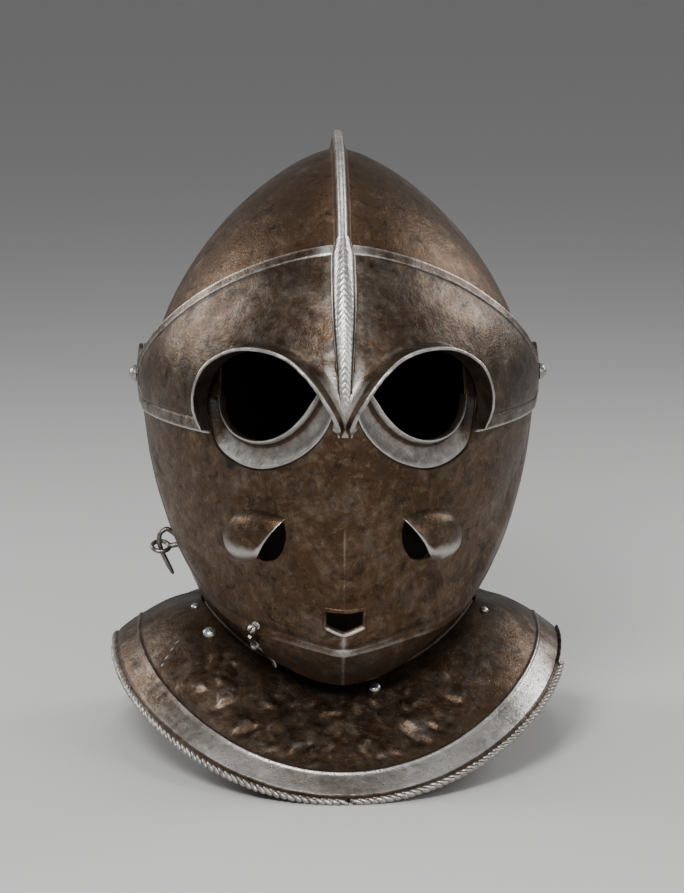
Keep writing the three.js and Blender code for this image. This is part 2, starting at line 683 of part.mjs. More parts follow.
const REAR_SINK = PLATE + LAME_GAP;
const FLANGE_SINK = PLATE + SEAT_GAP;
const UNDER_FLANGE = FLANGE_SINK + FLANGE_EASE + FLANGE_PLATE;
const boreAt = (seat) => rod(
  seat.point.clone().addScaledVector(seat.normal, -UNDER_FLANGE - 2),
  seat.point.clone().addScaledVector(seat.normal, 2),
  RIVET_BORE,
  6,
);
const frontBores = FRONT_RIVETS.map((row) => boreAt(seatOf(row))).reduce((a, b) => a.add(b));
const rearBores = REAR_RIVETS.map((row) => boreAt(seatOf(row, REAR_SINK))).reduce((a, b) => a.add(b));

// Neck flange: runs out from inside the jaw or nape under the gorget.
function flange(places, root, sink) {
  const shares = GORGET_SHARES.filter((share) => share <= FLANGE_SHARE).length;
  const grid = (depth) => places.map(({ azimuth }) => {
    const rows = gorgetProfile(azimuth).slice(0, shares);
    const first = rows[0].point.clone().addScaledVector(rows[0].normal, -depth);
    const outwards = rows[1].point.clone().sub(rows[0].point).setZ(0).normalize();
    const start = first.clone().addScaledVector(outwards, -root.inwards).add(vec(0, 0, root.up));
    return [start, ...rows.map(({ point, normal }) => point.clone().addScaledVector(normal, -depth))];
  });
  return slab(grid(sink), grid(sink + FLANGE_PLATE));
}

function skull() {
  return patch(skullForm, () => SKULL_FROM, () => SKULL_TO, 0, SKULL_PLATE)
    .add(comb())
    .add(ears(SKULL_HALF_WIDTH, SKULL_PLATE))
    .subtract(neckCutter())
    .add(flange(stations(112, 248, 8), NAPE_FLANGE_ROOT, REAR_SINK + FLANGE_SINK + FLANGE_EASE))
    .subtract(rearBores);
}

// Eyes
const eyeFrame = (() => {
  const w = vec(
    Math.sin(rad(EYE_TURN)) * Math.cos(rad(EYE_TILT)),
    -Math.cos(rad(EYE_TURN)) * Math.cos(rad(EYE_TILT)),
    Math.sin(rad(EYE_TILT)),
  );
  const u = vec(0, 0, 1).cross(w).normalize();
  return { centre: EYE_CENTRE, u, v: w.clone().cross(u), w };
})();

const inEye = (u, v) => eyeFrame.centre.clone().addScaledVector(eyeFrame.u, u).addScaledVector(eyeFrame.v, v);

function eyePoint(form, u, v, height, offset = 0) {
  return meetForm(form, inEye(u, v), eyeFrame.w, offset, 60).addScaledVector(eyeFrame.w, height);
}

// Direction away from the middle of the eye at a point of an outline.
function outwardAt(rows, i) {
  const before = rows[Math.max(i - 1, 0)];
  const after = rows[Math.min(i + 1, rows.length - 1)];
  const [du, dv] = [after.u - before.u, after.v - before.v];
  const length = Math.hypot(du, dv);
  const [nu, nv] = [dv / length, -du / length];
  const away = nu * rows[i].u + nv * rows[i].v;
  return away > 0 ? [nu, nv] : [-nu, -nv];
}

function hood() {
  const rows = sampled(HOOD_ROWS, ['u', 'v', 'height'], HOOD_STEPS);
  const sections = rows.map(({ u, v, height }, i) => {
    const [nu, nv] = outwardAt(rows, i);
    const [wide, high] = [u + nu * HOOD_WALL, v + nv * HOOD_WALL];
    return [
      eyePoint(browForm, u, v, 0, -1.3),
      eyePoint(browForm, wide, high, 0, -1.3),
      eyePoint(browForm, wide, high, height),
      eyePoint(browForm, u, v, height),
    ];
  });
  return bar(sections);
}

function browNotch() {
  const rows = sampled(HOOD_ROWS, ['u', 'v', 'height'], HOOD_STEPS);
  const middle = rows.map(({ u, v }, i) => {
    const [nu, nv] = outwardAt(rows, i);
    return { u: u + nu * HOOD_WALL / 2, v: v + nv * HOOD_WALL / 2 };
  });
  const [first, last] = [middle[0], middle[middle.length - 1]];
  const outline = [...middle, { u: last.u, v: NOTCH_BELOW }, { u: first.u, v: NOTCH_BELOW }];
  return prism(outline, eyeFrame, EYE_CUT.low, EYE_CUT.high);
}

function faceNotch() {
  const socketLine = sampled(SOCKET_ROWS, ['u', 'v'], SOCKET_STEPS);
  const lid = [LID_ROWS[0], LID_ROWS[LID_ROWS.length - 1]];
  const top = [
    { u: lid[1].u, v: lid[1].v - 1 },
    { u: lid[1].u, v: EYE_ABOVE },
    { u: lid[0].u - EYE_INNER_SPLAY, v: EYE_ABOVE },
    { u: lid[0].u, v: lid[0].v - 1 },
  ];
  return prism([...socketLine, ...top], eyeFrame, EYE_CUT.low, EYE_CUT.high);
}

function socket() {
  const outer = sampled(SOCKET_ROWS, ['u', 'v'], SOCKET_STEPS);
  const inner = sampled(LID_ROWS, ['u', 'v'], SOCKET_STEPS);
  const at = (i, { share }, height) => {
    const u = outer[i].u + (inner[i].u - outer[i].u) * share;
    const v = outer[i].v + (inner[i].v - outer[i].v) * share;
    return eyePoint(faceForm, u, v, height);
  };
  const sections = outer.map((_, i) => [
    ...SOCKET_SECTION.map((row) => at(i, row, row.top)),
    ...SOCKET_SECTION.slice().reverse().map((row) => at(i, row, row.under)),
  ]);
  return bar(sections);
}

// Hollow teardrop ridge over the comb, on the brow plate's middle
function ridge() {
  const section = (angle, crest, half, sink) => {
    const skirt = columnAt(BROW_ROWS, 'radius', angle) - sink;
    return [
      polar(skirt - 0.4, angle, half),
      polar(skirt + (crest - skirt) * 0.55, angle, half * 0.78),
      polar(skirt + (crest - skirt) * 0.92, angle, half * 0.34),
      polar(crest, angle, 0),
      polar(skirt + (crest - skirt) * 0.92, angle, -half * 0.34),
      polar(skirt + (crest - skirt) * 0.55, angle, -half * 0.78),
      polar(skirt - 0.4, angle, -half),
    ];
  };
  const angles = [0, 6, 12, 20, 28, 36, BROW_TOP];
  const rowAt = (angle) => ({
    crest: columnAt(RIDGE_ROWS, 'crest', angle),
    half: columnAt(RIDGE_ROWS, 'half', angle),
  });
  return bar(angles.map((angle) => {
    const { crest, half } = rowAt(angle);
    return section(angle, crest, half, 1);
  }));
}

// Room for the comb under the ridge, so that the brow plate can swing back over the skull
function combRoom() {
  const outline = [
    ...COMB_ROOM.map(({ radius, half }) => ({ radius, x: half })),
    ...COMB_ROOM.slice().reverse().map(({ radius, half }) => ({ radius, x: -half })),
  ];
  return bar(range(6, RIDGE_HOLLOW_FROM, BROW_TOP + 6)
    .map((angle) => outline.map(({ radius, x }) => polar(radius, angle, x))));
}

function browPlate() {
  const below = solidOfGeometry(
    new THREE.BoxGeometry(300, 300, 200),
    new THREE.Matrix4().makeTranslation(0, 0, BROW_LOW_Z - 100),
  );
  return patch(browForm, () => BROW_PATCH_FROM, () => BROW_TOP, 0, PLATE)
    .add(ridge())
    .subtract(combRoom())
    .subtract(withMirror(browNotch()))
    .add(withMirror(hood()))
    .subtract(below)
    .add(ears(SKULL_HALF_WIDTH + BROW_LIFT, PLATE));
}

// Breaths and mouth, on the face plate's front
const facePoint = (x, z, offset = 0) => meetForm(faceForm, vec(x, -90, z), vec(0, -1, 0), offset, 85);

const breathFrame = (() => {
  const centre = facePoint(46, -70);
  const w = formNormal(faceForm, centre);
  const u = vec(1, 0, 0).projectOnPlane(w).normalize();
  return { centre, u, v: w.clone().cross(u), w };
})();

function breath() {
  const count = 6;
  const lip = sampled(BREATH_LIP, ['x', 'z'], count);
  const back = sampled(BREATH_BACK, ['x', 'z'], count);
  const ways = [0, 0.5, 0.86, 1];
  const grid = (sink) => lip.map((start, i) => {
    const along = Math.sin(Math.PI * i / count) ** 0.7;
    return ways.map((way) => {
      const x = start.x + (back[i].x - start.x) * way;
      const z = start.z + (back[i].z - start.z) * way;
      const swell = Math.sqrt(Math.max(1 - way ** 3.2, 0)) * (1 - 0.12 * way);
      return facePoint(x, z).addScaledVector(breathFrame.w, BREATH_HEIGHT * along * swell - 0.3 - sink);
    });
  });
  return slab(grid(0), grid(BREATH_WALL - 0.4));
}

function outlineOnFace(rows, frame) {
  return rows.map(({ x, z }) => {
    const offset = facePoint(x, z).sub(frame.centre);
    return { u: offset.dot(frame.u), v: offset.dot(frame.v) };
  });
}

const mouthFrame = (() => {
  const w = vec(0, -Math.cos(rad(MOUTH_TILT)), Math.sin(rad(MOUTH_TILT)));
  const u = vec(1, 0, 0);
  return { centre: facePoint(MOUTH_CENTRE.x, MOUTH_CENTRE.z), u, v: w.clone().cross(u), w };
})();

function mouthFrameSolid() {
  const onFace = ({ u, v }, height) => {
    const through = mouthFrame.centre.clone()
      .addScaledVector(mouthFrame.u, u)
      .addScaledVector(mouthFrame.v, v);
    return meetForm(faceForm, through, mouthFrame.w, 0, 40).addScaledVector(mouthFrame.w, height);
  };
  const grow = ({ u, v }, by) => ({ u: u + Math.sign(u) * by, v: v + (v > 0 ? by : -by) });
  const inner = MOUTH_OUTLINE.map((p) => grow(p, -0.4));
  const sections = inner.map((p) => [
    onFace(p, -1.5),
    onFace(grow(p, MOUTH_FRAME + 0.4), -1.5),
    onFace(grow(p, MOUTH_FRAME + 0.4), -0.4),
    onFace(grow(p, 0.9), MOUTH_RISE),
    onFace(p, MOUTH_RISE),
  ]);
  const size = sections[0].length;
  const triangles = [];
  sections.forEach((_, i) => {
    const [a, b] = [i * size, ((i + 1) % sections.length) * size];
    for (let j = 0; j < size; j += 1) {
      const k = (j + 1) % size;
      triangles.push(a + j, b + j, b + k, a + j, b + k, a + k);
    }
  });
  return solidOf(sections.flat(), triangles);
}

const seamAt = (share) => SEAM - SEAM_SWEEP * share * share;
const bevorTopAt = (share) => BEVOR_TOP - BEVOR_TOP_SWEEP * share * share;

function facePlate() {
  const breathEdge = sampled([...BREATH_HOLE, BREATH_HOLE[0]], ['x', 'z'], 12).slice(0, -1);
  const breathOutline = outlineOnFace(breathEdge, breathFrame);
  const breathHole = prism(breathOutline, breathFrame, -SLOT_CUT, BREATH_HEIGHT - 0.5);
  const mouthHole = prism(MOUTH_OUTLINE, mouthFrame, -SLOT_CUT, SLOT_CUT);
  return patch(faceForm, seamAt, () => FACE_TOP, 0, PLATE)
    .subtract(withMirror(breathHole))
    .add(withMirror(breath()))
    .subtract(withMirror(faceNotch()))
    .add(withMirror(socket()))
    .subtract(mouthHole)
    .add(mouthFrameSolid())
    .subtract(chinStudBore)
    .add(ears(SKULL_HALF_WIDTH + FACE_LIFT, PLATE));
}

function bevor() {
  return patch(faceForm, () => BEVOR_REAR, bevorTopAt, BEVOR_SINK - SEAM_EASE, PLATE)
    .add(ears(SKULL_HALF_WIDTH + FACE_LIFT + BEVOR_SINK, PLATE))
    .subtract(neckCutter())
    .add(flange(stations(-80, 80, 14), CHIN_FLANGE_ROOT, FLANGE_SINK + FLANGE_EASE))
    .subtract(frontBores)
    .subtract(hookBores);
}

function gorgetFront() {
  return lame(frontPlaces, 0).subtract(frontBores).subtract(floorCutter);
}

function gorgetRear() {
  return lame(rearPlaces, REAR_SINK).subtract(rearBores).subtract(floorCutter);
}

// Pivot bolt: domed head outside the brow plate's ear, washer and riveted end inside the skull
function pivotBolt(side) {
  const outside = SKULL_HALF_WIDTH + BROW_LIFT + EAR_EXTRA + 0.2;
  const inside = SKULL_HALF_WIDTH - SKULL_PLATE - EAR_EXTRA - 2;
  const seat = { point: vec(side * outside, 0, 0), normal: vec(side, 0, 0) };
  const length = outside - inside;
  return turnedPiece([
    { radius: 0, height: BOLT_HEAD_HEIGHT },
    { radius: BOLT_HEAD * 0.7, height: BOLT_HEAD_HEIGHT * 0.72 },
    { radius: BOLT_HEAD, height: 0 },
    { radius: BOLT_RADIUS, height: 0 },
    { radius: BOLT_RADIUS, height: -length },
    { radius: BOLT_HEAD, height: -length },
    { radius: BOLT_HEAD, height: -length - 1.2 },
    { radius: 0, height: -length - 2.4 },
  ], seat, 12);
}

// Chin hook: swings on a rivet in the bevor, its arm reaching up to the stud on the face plate
function seatOn(angle, share, offset) {
  const row = PATCH_ANGLES.findIndex((at) => at > angle) - 1;
  const column = shares.findIndex((at) => at > share) - 1;
  const corner = (i, j) => {
    const at = PATCH_ANGLES[row + i];
    return formPoint(faceForm, at, shares[column + j] * shareAtEar(faceForm, at), offset);
  };
  const down = (angle - PATCH_ANGLES[row]) / (PATCH_ANGLES[row + 1] - PATCH_ANGLES[row]);
  const across = (share - shares[column]) / (shares[column + 1] - shares[column]);
  const low = corner(0, 0).lerp(corner(0, 1), across);
  const high = corner(1, 0).lerp(corner(1, 1), across);
  const left = corner(0, 0).lerp(corner(1, 0), down);
  const right = corner(0, 1).lerp(corner(1, 1), down);
  const normal = right.sub(left).cross(high.clone().sub(low)).normalize();
  return { point: low.lerp(high, down), normal };
}

const chinHookSeat = seatOn(CHIN_HOOK.angle, CHIN_HOOK.share, BEVOR_SINK - SEAM_EASE);
const chinStudSeat = seatOn(seamAt(CHIN_HOOK.share) + CHIN_STUD_ABOVE_SEAM, CHIN_HOOK.share, 0);
const chinFrame = (() => {
  const w = chinHookSeat.normal;
  const v = chinStudSeat.point.clone().sub(chinHookSeat.point).projectOnPlane(w).normalize();
  return { centre: chinHookSeat.point, u: v.clone().cross(w), v, w };
})();

const inFrame = (frame, u, v, w) => frame.centre.clone()
  .addScaledVector(frame.u, u)
  .addScaledVector(frame.v, v)
  .addScaledVector(frame.w, w);

function boreThrough(seat, radius) {
  const at = (height) => seat.point.clone().addScaledVector(seat.normal, height);
  return rod(at(-PLATE - 2), at(3), radius, 6);
}

// Flat strip through rows of place, half width, height of its underside and thickness.
function strip(rows, frame) {
  return bar(rows.map(({ u, v, half, low, thick }, i) => {
    const before = rows[Math.max(i - 1, 0)];
    const after = rows[Math.min(i + 1, rows.length - 1)];
    const length = Math.hypot(after.u - before.u, after.v - before.v);
    const [nu, nv] = [(before.v - after.v) / length * half, (after.u - before.u) / length * half];
    return [
      inFrame(frame, u - nu, v - nv, low),
      inFrame(frame, u + nu, v + nv, low),
      inFrame(frame, u + nu, v + nv, low + thick),
      inFrame(frame, u - nu, v - nv, low + thick),
    ];
  }));
}

function chinHook() {
  const axis = (height) => inFrame(chinFrame, 0, 0, height);
  const reach = chinStudSeat.point.distanceTo(chinHookSeat.point) - CHIN_STUD.neck - CHIN_HOOK.shortOf;
  const arm = strip(CHIN_ARM_ROWS.map((row) => ({ ...row, v: row.along * reach })), chinFrame);
  return rod(axis(CHIN_HOOK.low), axis(CHIN_HOOK.high), CHIN_HOOK.hub, 10)
    .add(arm)
    .add(strip(CHIN_HANDLE_ROWS, chinFrame))
    .subtract(rod(axis(-2), axis(CHIN_HOOK.high + 2), CHIN_HOOK.bore, 8));
}

function chinHookRivet() {
  const { high, pin, head, headHeight } = CHIN_HOOK;
  return turnedPiece([
    { radius: 0, height: high + SEAT_GAP + headHeight },
    { radius: head * 0.7, height: high + SEAT_GAP + headHeight * 0.7 },
    { radius: head, height: high + SEAT_GAP },
    { radius: pin, height: high + SEAT_GAP },
    { radius: pin, height: -PLATE - TAIL_GAP },
    { radius: head, height: -PLATE - TAIL_GAP },
    { radius: 0, height: -PLATE - TAIL_GAP - 1 },
  ], chinHookSeat, 8);
}

function chinStud() {
  const { base, neck, ball, ballHeight } = CHIN_STUD;
  const around = (turn) => ({
    radius: ball * Math.cos(rad(turn)),
    height: ballHeight + ball * Math.sin(rad(turn)),
  });
  return turnedPiece([
    { radius: 0, height: ballHeight + ball },
    ...[50, 15, -20].map(around),
    { radius: neck, height: ballHeight - ball * 0.86 },
    { radius: neck, height: 1.1 },
    { radius: base, height: 0.9 },
    { radius: base, height: 2 * SEAT_GAP },
    { radius: RIVET_SHANK, height: 2 * SEAT_GAP },
    { radius: RIVET_SHANK, height: 0.2 - PLATE },
    { radius: 0, height: 0.2 - PLATE },
  ], chinStudSeat, 10);
}

// Side hook and pierced stud, fastened in each other on the left of the jaw
const sideSeat = seatOn(SIDE_STUD.angle, SIDE_STUD.share, BEVOR_SINK - SEAM_EASE);
const sideFrame = (() => {
  const w = sideSeat.normal.clone().setZ(0).normalize();
  return { centre: sideSeat.point, u: vec(0, 0, 1).cross(w).normalize(), v: vec(0, 0, 1), w };
})();
const sideHookRoot = inFrame(sideFrame, 0, SIDE_HOOK.above, 0);
const sideHookSeat = (() => {
  const offset = BEVOR_SINK - SEAM_EASE;
  const point = meetForm(faceForm, sideHookRoot, sideFrame.w, offset, 20);
  return { point, normal: sideFrame.w };
})();

function wire(points, radius, steps, sides) {
  const curve = new THREE.CatmullRomCurve3(points, false, 'centripetal');
  const taper = (t) => radius * Math.min(1, 0.6 + 6 * (1 - t));
  return bar(range(steps, 0, 1).map((t) => {
    const along = curve.getTangent(t);
    const side = sideFrame.u.clone().projectOnPlane(along).normalize();
    const up = along.clone().cross(side);
    return turns(sides).map((turn) => curve.getPoint(t)
      .addScaledVector(side, taper(t) * Math.cos(rad(turn)))
      .addScaledVector(up, taper(t) * Math.sin(rad(turn))));
  }));
}

function sideStud() {
  const { out, down, tilt, ring, wireRadius, stalk, collar, collarFrom, collarTo } = SIDE_STUD;
  const at = (w, v = 0) => inFrame(sideFrame, 0, v, w);
  const middle = at(out, -down);
  const facing = new THREE.Quaternion().setFromUnitVectors(
    vec(0, 0, 1),
    sideFrame.v.clone().multiplyScalar(Math.cos(rad(tilt)))
      .addScaledVector(sideFrame.u, Math.sin(rad(tilt)))
      .normalize(),
  );
  const eye = solidOfGeometry(
    new THREE.TorusGeometry(ring, wireRadius, 5, 12),
    new THREE.Matrix4().compose(middle, facing, vec(1, 1, 1)),
  );
  return rod(at(0.3 - PLATE), at(out - ring, -down), stalk, 8)
    .add(rod(at(collarFrom), at(collarTo), collar, 10))
    .add(eye);
}

function sideHook() {
  const points = SIDE_HOOK_ROWS.map(({ out, up }) => inFrame(sideFrame, 0, up, out));
  points[0] = sideHookSeat.point.clone().addScaledVector(sideHookSeat.normal, 0.3 - PLATE);
  return wire(points, SIDE_HOOK.wireRadius, 14, 5);
}

const hookBores = boreThrough(chinHookSeat, CHIN_HOOK.bore)
  .add(boreThrough({ point: sideSeat.point, normal: sideFrame.w }, SIDE_STUD.stalk + SEAT_GAP))
  .add(boreThrough(sideHookSeat, SIDE_HOOK.wireRadius + SEAT_GAP));
const chinStudBore = boreThrough(chinStudSeat, RIVET_BORE + SEAT_GAP);

function steel(colour, roughness) {
  return new THREE.MeshStandardMaterial({ color: colour, roughness, metalness: 0.9 });
}
const DARK = 0x3a2e26;
const WORN = 0x6b6258;
const BRIGHT = 0x9a948c;

function meshOf(name, solid, colour = DARK, roughness = 0.5) {
  const { vertProperties, triVerts } = solid.getMesh();
  const geometry = new THREE.BufferGeometry();
  geometry.setAttribute('position', new THREE.BufferAttribute(vertProperties, 3));
  geometry.setIndex(new THREE.BufferAttribute(triVerts, 1));
  geometry.computeVertexNormals();
  const mesh = new THREE.Mesh(geometry, steel(colour, roughness));
  mesh.name = name;
  return mesh;
}

const helmet = new THREE.Group();
helmet.position.set(0, PIVOT_BACKWARD, PIVOT_HEIGHT);
helmet.add(meshOf('skull', skull()));
helmet.add(meshOf('gorget_rear', gorgetRear()));
helmet.add(meshOf('bevor', bevor()));
helmet.add(meshOf('gorget_front', gorgetFront()));
helmet.add(meshOf('face_plate', facePlate()));
helmet.add(meshOf('brow_plate', browPlate()));
helmet.add(meshOf('pivot_bolt_left', pivotBolt(-1), WORN));
helmet.add(meshOf('pivot_bolt_right', pivotBolt(1), WORN));
helmet.add(meshOf('chin_hook', chinHook(), WORN));
helmet.add(meshOf('chin_hook_rivet', chinHookRivet(), BRIGHT));
helmet.add(meshOf('chin_stud', chinStud(), WORN));
helmet.add(meshOf('side_stud', sideStud(), WORN));
helmet.add(meshOf('side_hook', sideHook(), WORN));
for (const row of [...FRONT_RIVETS, ...REAR_RIVETS]) {
  const seat = seatOf(row, FRONT_RIVETS.includes(row) ? 0 : REAR_SINK);
  helmet.add(meshOf(row.name, rivet(seat, row.head, UNDER_FLANGE), BRIGHT));
}

export default helmet;
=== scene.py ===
# Looks of the savoyard helmet: plates raised from sheet, with their hoods, sockets, breaths, roped
# edges and brown patina. Lengths are millimetres from the pivot axis until a mesh is made.
import math

import bpy
import numpy as np
from mathutils import Matrix, Vector


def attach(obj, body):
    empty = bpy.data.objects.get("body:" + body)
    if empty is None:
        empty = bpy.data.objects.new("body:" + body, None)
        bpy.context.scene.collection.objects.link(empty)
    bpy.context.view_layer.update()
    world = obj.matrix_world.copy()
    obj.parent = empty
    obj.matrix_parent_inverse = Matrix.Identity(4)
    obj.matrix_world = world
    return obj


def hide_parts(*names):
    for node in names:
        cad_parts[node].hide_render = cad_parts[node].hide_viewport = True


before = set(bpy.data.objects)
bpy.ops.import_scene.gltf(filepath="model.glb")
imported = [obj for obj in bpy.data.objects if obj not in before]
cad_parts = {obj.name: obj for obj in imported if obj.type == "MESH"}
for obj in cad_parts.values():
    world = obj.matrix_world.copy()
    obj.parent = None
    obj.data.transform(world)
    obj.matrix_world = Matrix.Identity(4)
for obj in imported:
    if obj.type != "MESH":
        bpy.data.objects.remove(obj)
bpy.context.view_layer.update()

# Sizes shared with the solids
PIVOT = np.array([0.0, 9.85, 204.0])
PLATE, SKULL_PLATE, RUNNING_GAP, SEAT_GAP = 1.8, 2.0, 0.8, 0.3
SKULL_HALF_WIDTH = 103.7
FACE_LIFT = 2 * (RUNNING_GAP + PLATE)
BROW_LIFT = 3 * (RUNNING_GAP + PLATE)
BEVOR_SINK = -(RUNNING_GAP + PLATE) - 0.3
EAR_RADIUS, EAR_LAP, BOLT_BORE = 16.5, 1.0, 2.6
SKULL_FROM, SKULL_TO, FACE_TOP, BROW_TOP, BROW_LOW_Z = 20, 272, 12, 41.5, -16
BEVOR_REAR, BEVOR_TOP, BEVOR_SWEEP, SEAM, SEAM_SWEEP = -96, -47.5, 14, -50, 25.5
EAR_FORM = dict(radius=150, over=1.75, side=1.7)

SKULL_ROWS = np.array([  # angle, radius, power over the crown, power to the side
    (0, 124.5, 1.75, 1.6), (37, 124.5, 1.75, 1.6), (90, 124.5, 1.63, 1.5), (150, 124.5, 1.63, 1.5),
    (180, 124.5, 1.85, 1.75), (210, 125, 1.9, 1.9), (225, 131, 1.85, 2), (238, 146, 1.8, 2.1),
    (252, 168, 1.75, 2.24), (270, 181, 1.7, 2.24), (294, 167, 1.7, 2.3)], float)
FACE_ROWS = np.array([  # the same columns
    (-122, 150.6, 1.8, 2.1), (-108, 173, 1.75, 2.24), (-90, 186, 1.7, 2.24), (-66, 172, 1.7, 2.3),
    (-58, 184, 1.75, 1.8), (-50, 175, 1.8, 1.5), (-43, 165, 1.85, 1.42), (-25, 147.5, 1.85, 1.4),
    (-12, 139.4, 1.85, 1.42), (-6, 138.1, 1.85, 1.43), (10, 137.2, 1.8, 1.45), (40, 134, 1.75, 1.6)], float)
BROW_ROWS = np.array([  # the same columns
    (-60, 143, 1.86, 1.5), (-10, 140.8, 1.86, 1.5), (10, 139.6, 1.84, 1.55), (25, 134.6, 1.8, 1.6),
    (37, 128.7, 1.75, 1.6), (60, 127.4, 1.7, 1.55)], float)
RIDGE_ROWS = np.array([  # angle, crest, half width
    (0, 141.7, 3), (12, 141, 5.2), (24, 139.6, 6.8), (36, 138, 7), (41.5, 137.4, 6.6)], float)
COMB_SECTION = [  # half width and distance from the pivot axis
    (6.2, 122.4), (4.9, 123.6), (3.9, 125.4), (3.3, 128), (2.8, 130.4), (2.3, 132.4), (1.7, 133.8),
    (0.85, 134.5)]
COMB_FROM, COMB_TO = 20.4, 170
HOOD_ROWS = [  # towards the side, up, height over the plate
    (34, -14, 8), (36, -4, 11), (34.5, 8, 12.5), (27, 20, 13), (13, 28.5, 12.5), (-3, 31, 12),
    (-20, 28.5, 12), (-33, 20.5, 11.5), (-41.5, 10, 10), (-46.5, -1, 7), (-47.2, -9.5, 3.4)]
LID_ROWS = [(-35, 15), (-31, 7.5), (-25, -1.5), (-16, -10), (-5, -15.5), (8, -17.3), (20, -14.3),
            (28, -6.5), (30.5, 5)]
SOCKET_ROWS = [(-42, 12.5), (-41.5, 0), (-36.5, -10.5), (-28, -19.5), (-14, -28), (4, -32.5),
               (22, -29.5), (34.5, -21), (39, 3)]
BREATH_LIP = [(31, -57), (36, -67), (40, -76), (45.5, -83)]
BREATH_BACK = [(33, -56), (45, -55), (57, -58.5), (62.5, -68), (61.5, -78), (55, -83.5), (48, -84)]
BREATH_HEIGHT = 10.5
MOUTH_OUTLINE = [(-9.9, 3.6), (0, 4.9), (10.7, 3.4), (10.5, -6.7), (0.3, -8.7), (-9.7, -6.2)]
MOUTH_Z, MOUTH_TILT = -112.3, math.radians(-38)
COLLAR = dict(half=76.8, front=71.6, rear=77.5, gap=1.1)
RIM = dict(half=127, front=152, rear=132, side=-152, low=-203.2)
NECK = dict(half=73.5, front=66, rear=74)
SHOULDER, FRONT_LAME_END, FLARE, FLARE_FRONT, LAME_GAP = 6, 10, 1.75, 1.15, 0.5
BEAD_RADIUS, LOBE_PITCH, NOTCH_X, TORN_FROM = 1.35, 4.0, 2.0, 76
REAR_SINK = PLATE + LAME_GAP
FLANGE_SINK, FLANGE_PLATE = PLATE + SEAT_GAP + 0.4, 1.5


# Lines and forms
def column(rows, index, angle):
    """Smooth curve through one column of a table."""
    a = rows[:, 0]
    y = rows[:, index]
    slope = np.array([(y[min(k + 1, len(a) - 1)] - y[max(k - 1, 0)])
                      / (a[min(k + 1, len(a) - 1)] - a[max(k - 1, 0)]) for k in range(len(a))])
    at = np.clip(angle, a[0], a[-1])
    i = np.clip(np.searchsorted(a, at, side="left") - 1, 0, len(a) - 2)
    span = a[i + 1] - a[i]
    t = (at - a[i]) / span
    rise = t * t * (3 - 2 * t)
    bend = slope[i] * span * t * (1 - t) ** 2 - slope[i + 1] * span * t * t * (1 - t)
    return y[i] * (1 - rise) + y[i + 1] * rise + bend


def polar(distance, angle, x):
    a = np.radians(angle)
    distance, a, x = np.broadcast_arrays(distance, a, x)
    return np.stack([x, -distance * np.cos(a), distance * np.sin(a)], -1)


class Form:
    """A rounded form about the pivot axis, from a table of its rows."""

    def __init__(self, rows, half_width):
        self.rows, self.half_width = rows, half_width

    def at(self, angle):
        return (column(self.rows, k, angle) for k in (1, 2, 3))

    def distance(self, angle, share, offset=0.0):
        radius, over, side = self.at(angle)
        return (radius + offset) * np.maximum(1 - np.abs(share) ** side, 0) ** (1 / over)

    def point(self, angle, share, offset=0.0):
        return polar(self.distance(angle, share, offset), angle, share * (self.half_width + offset))

    def share_at_ear(self, angle):
        radius, over, side = self.at(angle)
        return (1 - ((EAR_RADIUS - EAR_LAP) / radius) ** over) ** (1 / side)

    def outside(self, p, offset=0.0):
        """Above zero outside the form, below zero inside it."""
        angle = np.degrees(np.arctan2(p[..., 2], -p[..., 1]))
        radius, over, side = self.at(angle)
        from_axis = np.hypot(p[..., 1], p[..., 2]) / (radius + offset)
        return from_axis ** over + (np.abs(p[..., 0]) / (self.half_width + offset)) ** side - 1

    def meet(self, through, direction, offset=0.0, reach=150.0):
        """Where lines meet the form, coming in from a distance of reach along their direction."""
        step, halvings = 2, 24

        def place(d):
            return through + d[..., None] * direction

        high = np.full(through.shape[:-1], float(reach))
        for _ in range(int(reach)):
            still = self.outside(place(high - step), offset) > 0
            if not still.any():
                break
            high = np.where(still, high - step, high)
        low = high - step
        for _ in range(halvings):
            middle = (high + low) / 2
            out = self.outside(place(middle), offset) > 0
            high, low = np.where(out, middle, high), np.where(out, low, middle)
        return place(low)


skull_form = Form(SKULL_ROWS, SKULL_HALF_WIDTH)
face_form = Form(FACE_ROWS, SKULL_HALF_WIDTH + FACE_LIFT)
brow_form = Form(BROW_ROWS, SKULL_HALF_WIDTH + BROW_LIFT)
lower = SKULL_ROWS[(SKULL_ROWS[:, 0] > 180) & (SKULL_ROWS[:, 0] < 250)] + [-360, FACE_LIFT, 0, 0]
lower_form = Form(np.vstack([lower, FACE_ROWS[FACE_ROWS[:, 0] > -110]]), SKULL_HALF_WIDTH + FACE_LIFT)


def smooth_line(rows, count):
    """Centripetal curve through short rows."""
    p = np.array(rows, float)
    before, after = 2 * p[0] - p[1], 2 * p[-1] - p[-2]
    q = np.vstack([before, p, after])
    out = []
    for t in np.linspace(0, len(p) - 1, count + 1):
        i = min(int(t), len(p) - 2)
        f = t - i
        p0, p1, p2, p3 = q[i:i + 4]
        d0, d1, d2 = (max(np.linalg.norm(b - a) ** 0.5, 1e-4) for a, b in ((p0, p1), (p1, p2), (p2, p3)))
        m1 = ((p1 - p0) / d0 - (p2 - p0) / (d0 + d1) + (p2 - p1) / d1) * d1
        m2 = ((p2 - p1) / d1 - (p3 - p1) / (d1 + d2) + (p3 - p2) / d2) * d1
        h = (2 * f**3 - 3 * f**2 + 1, f**3 - 2 * f**2 + f, -2 * f**3 + 3 * f**2, f**3 - f**2)
        out.append(h[0] * p1 + h[1] * m1 + h[2] * p2 + h[3] * m2)
    return np.array(out)


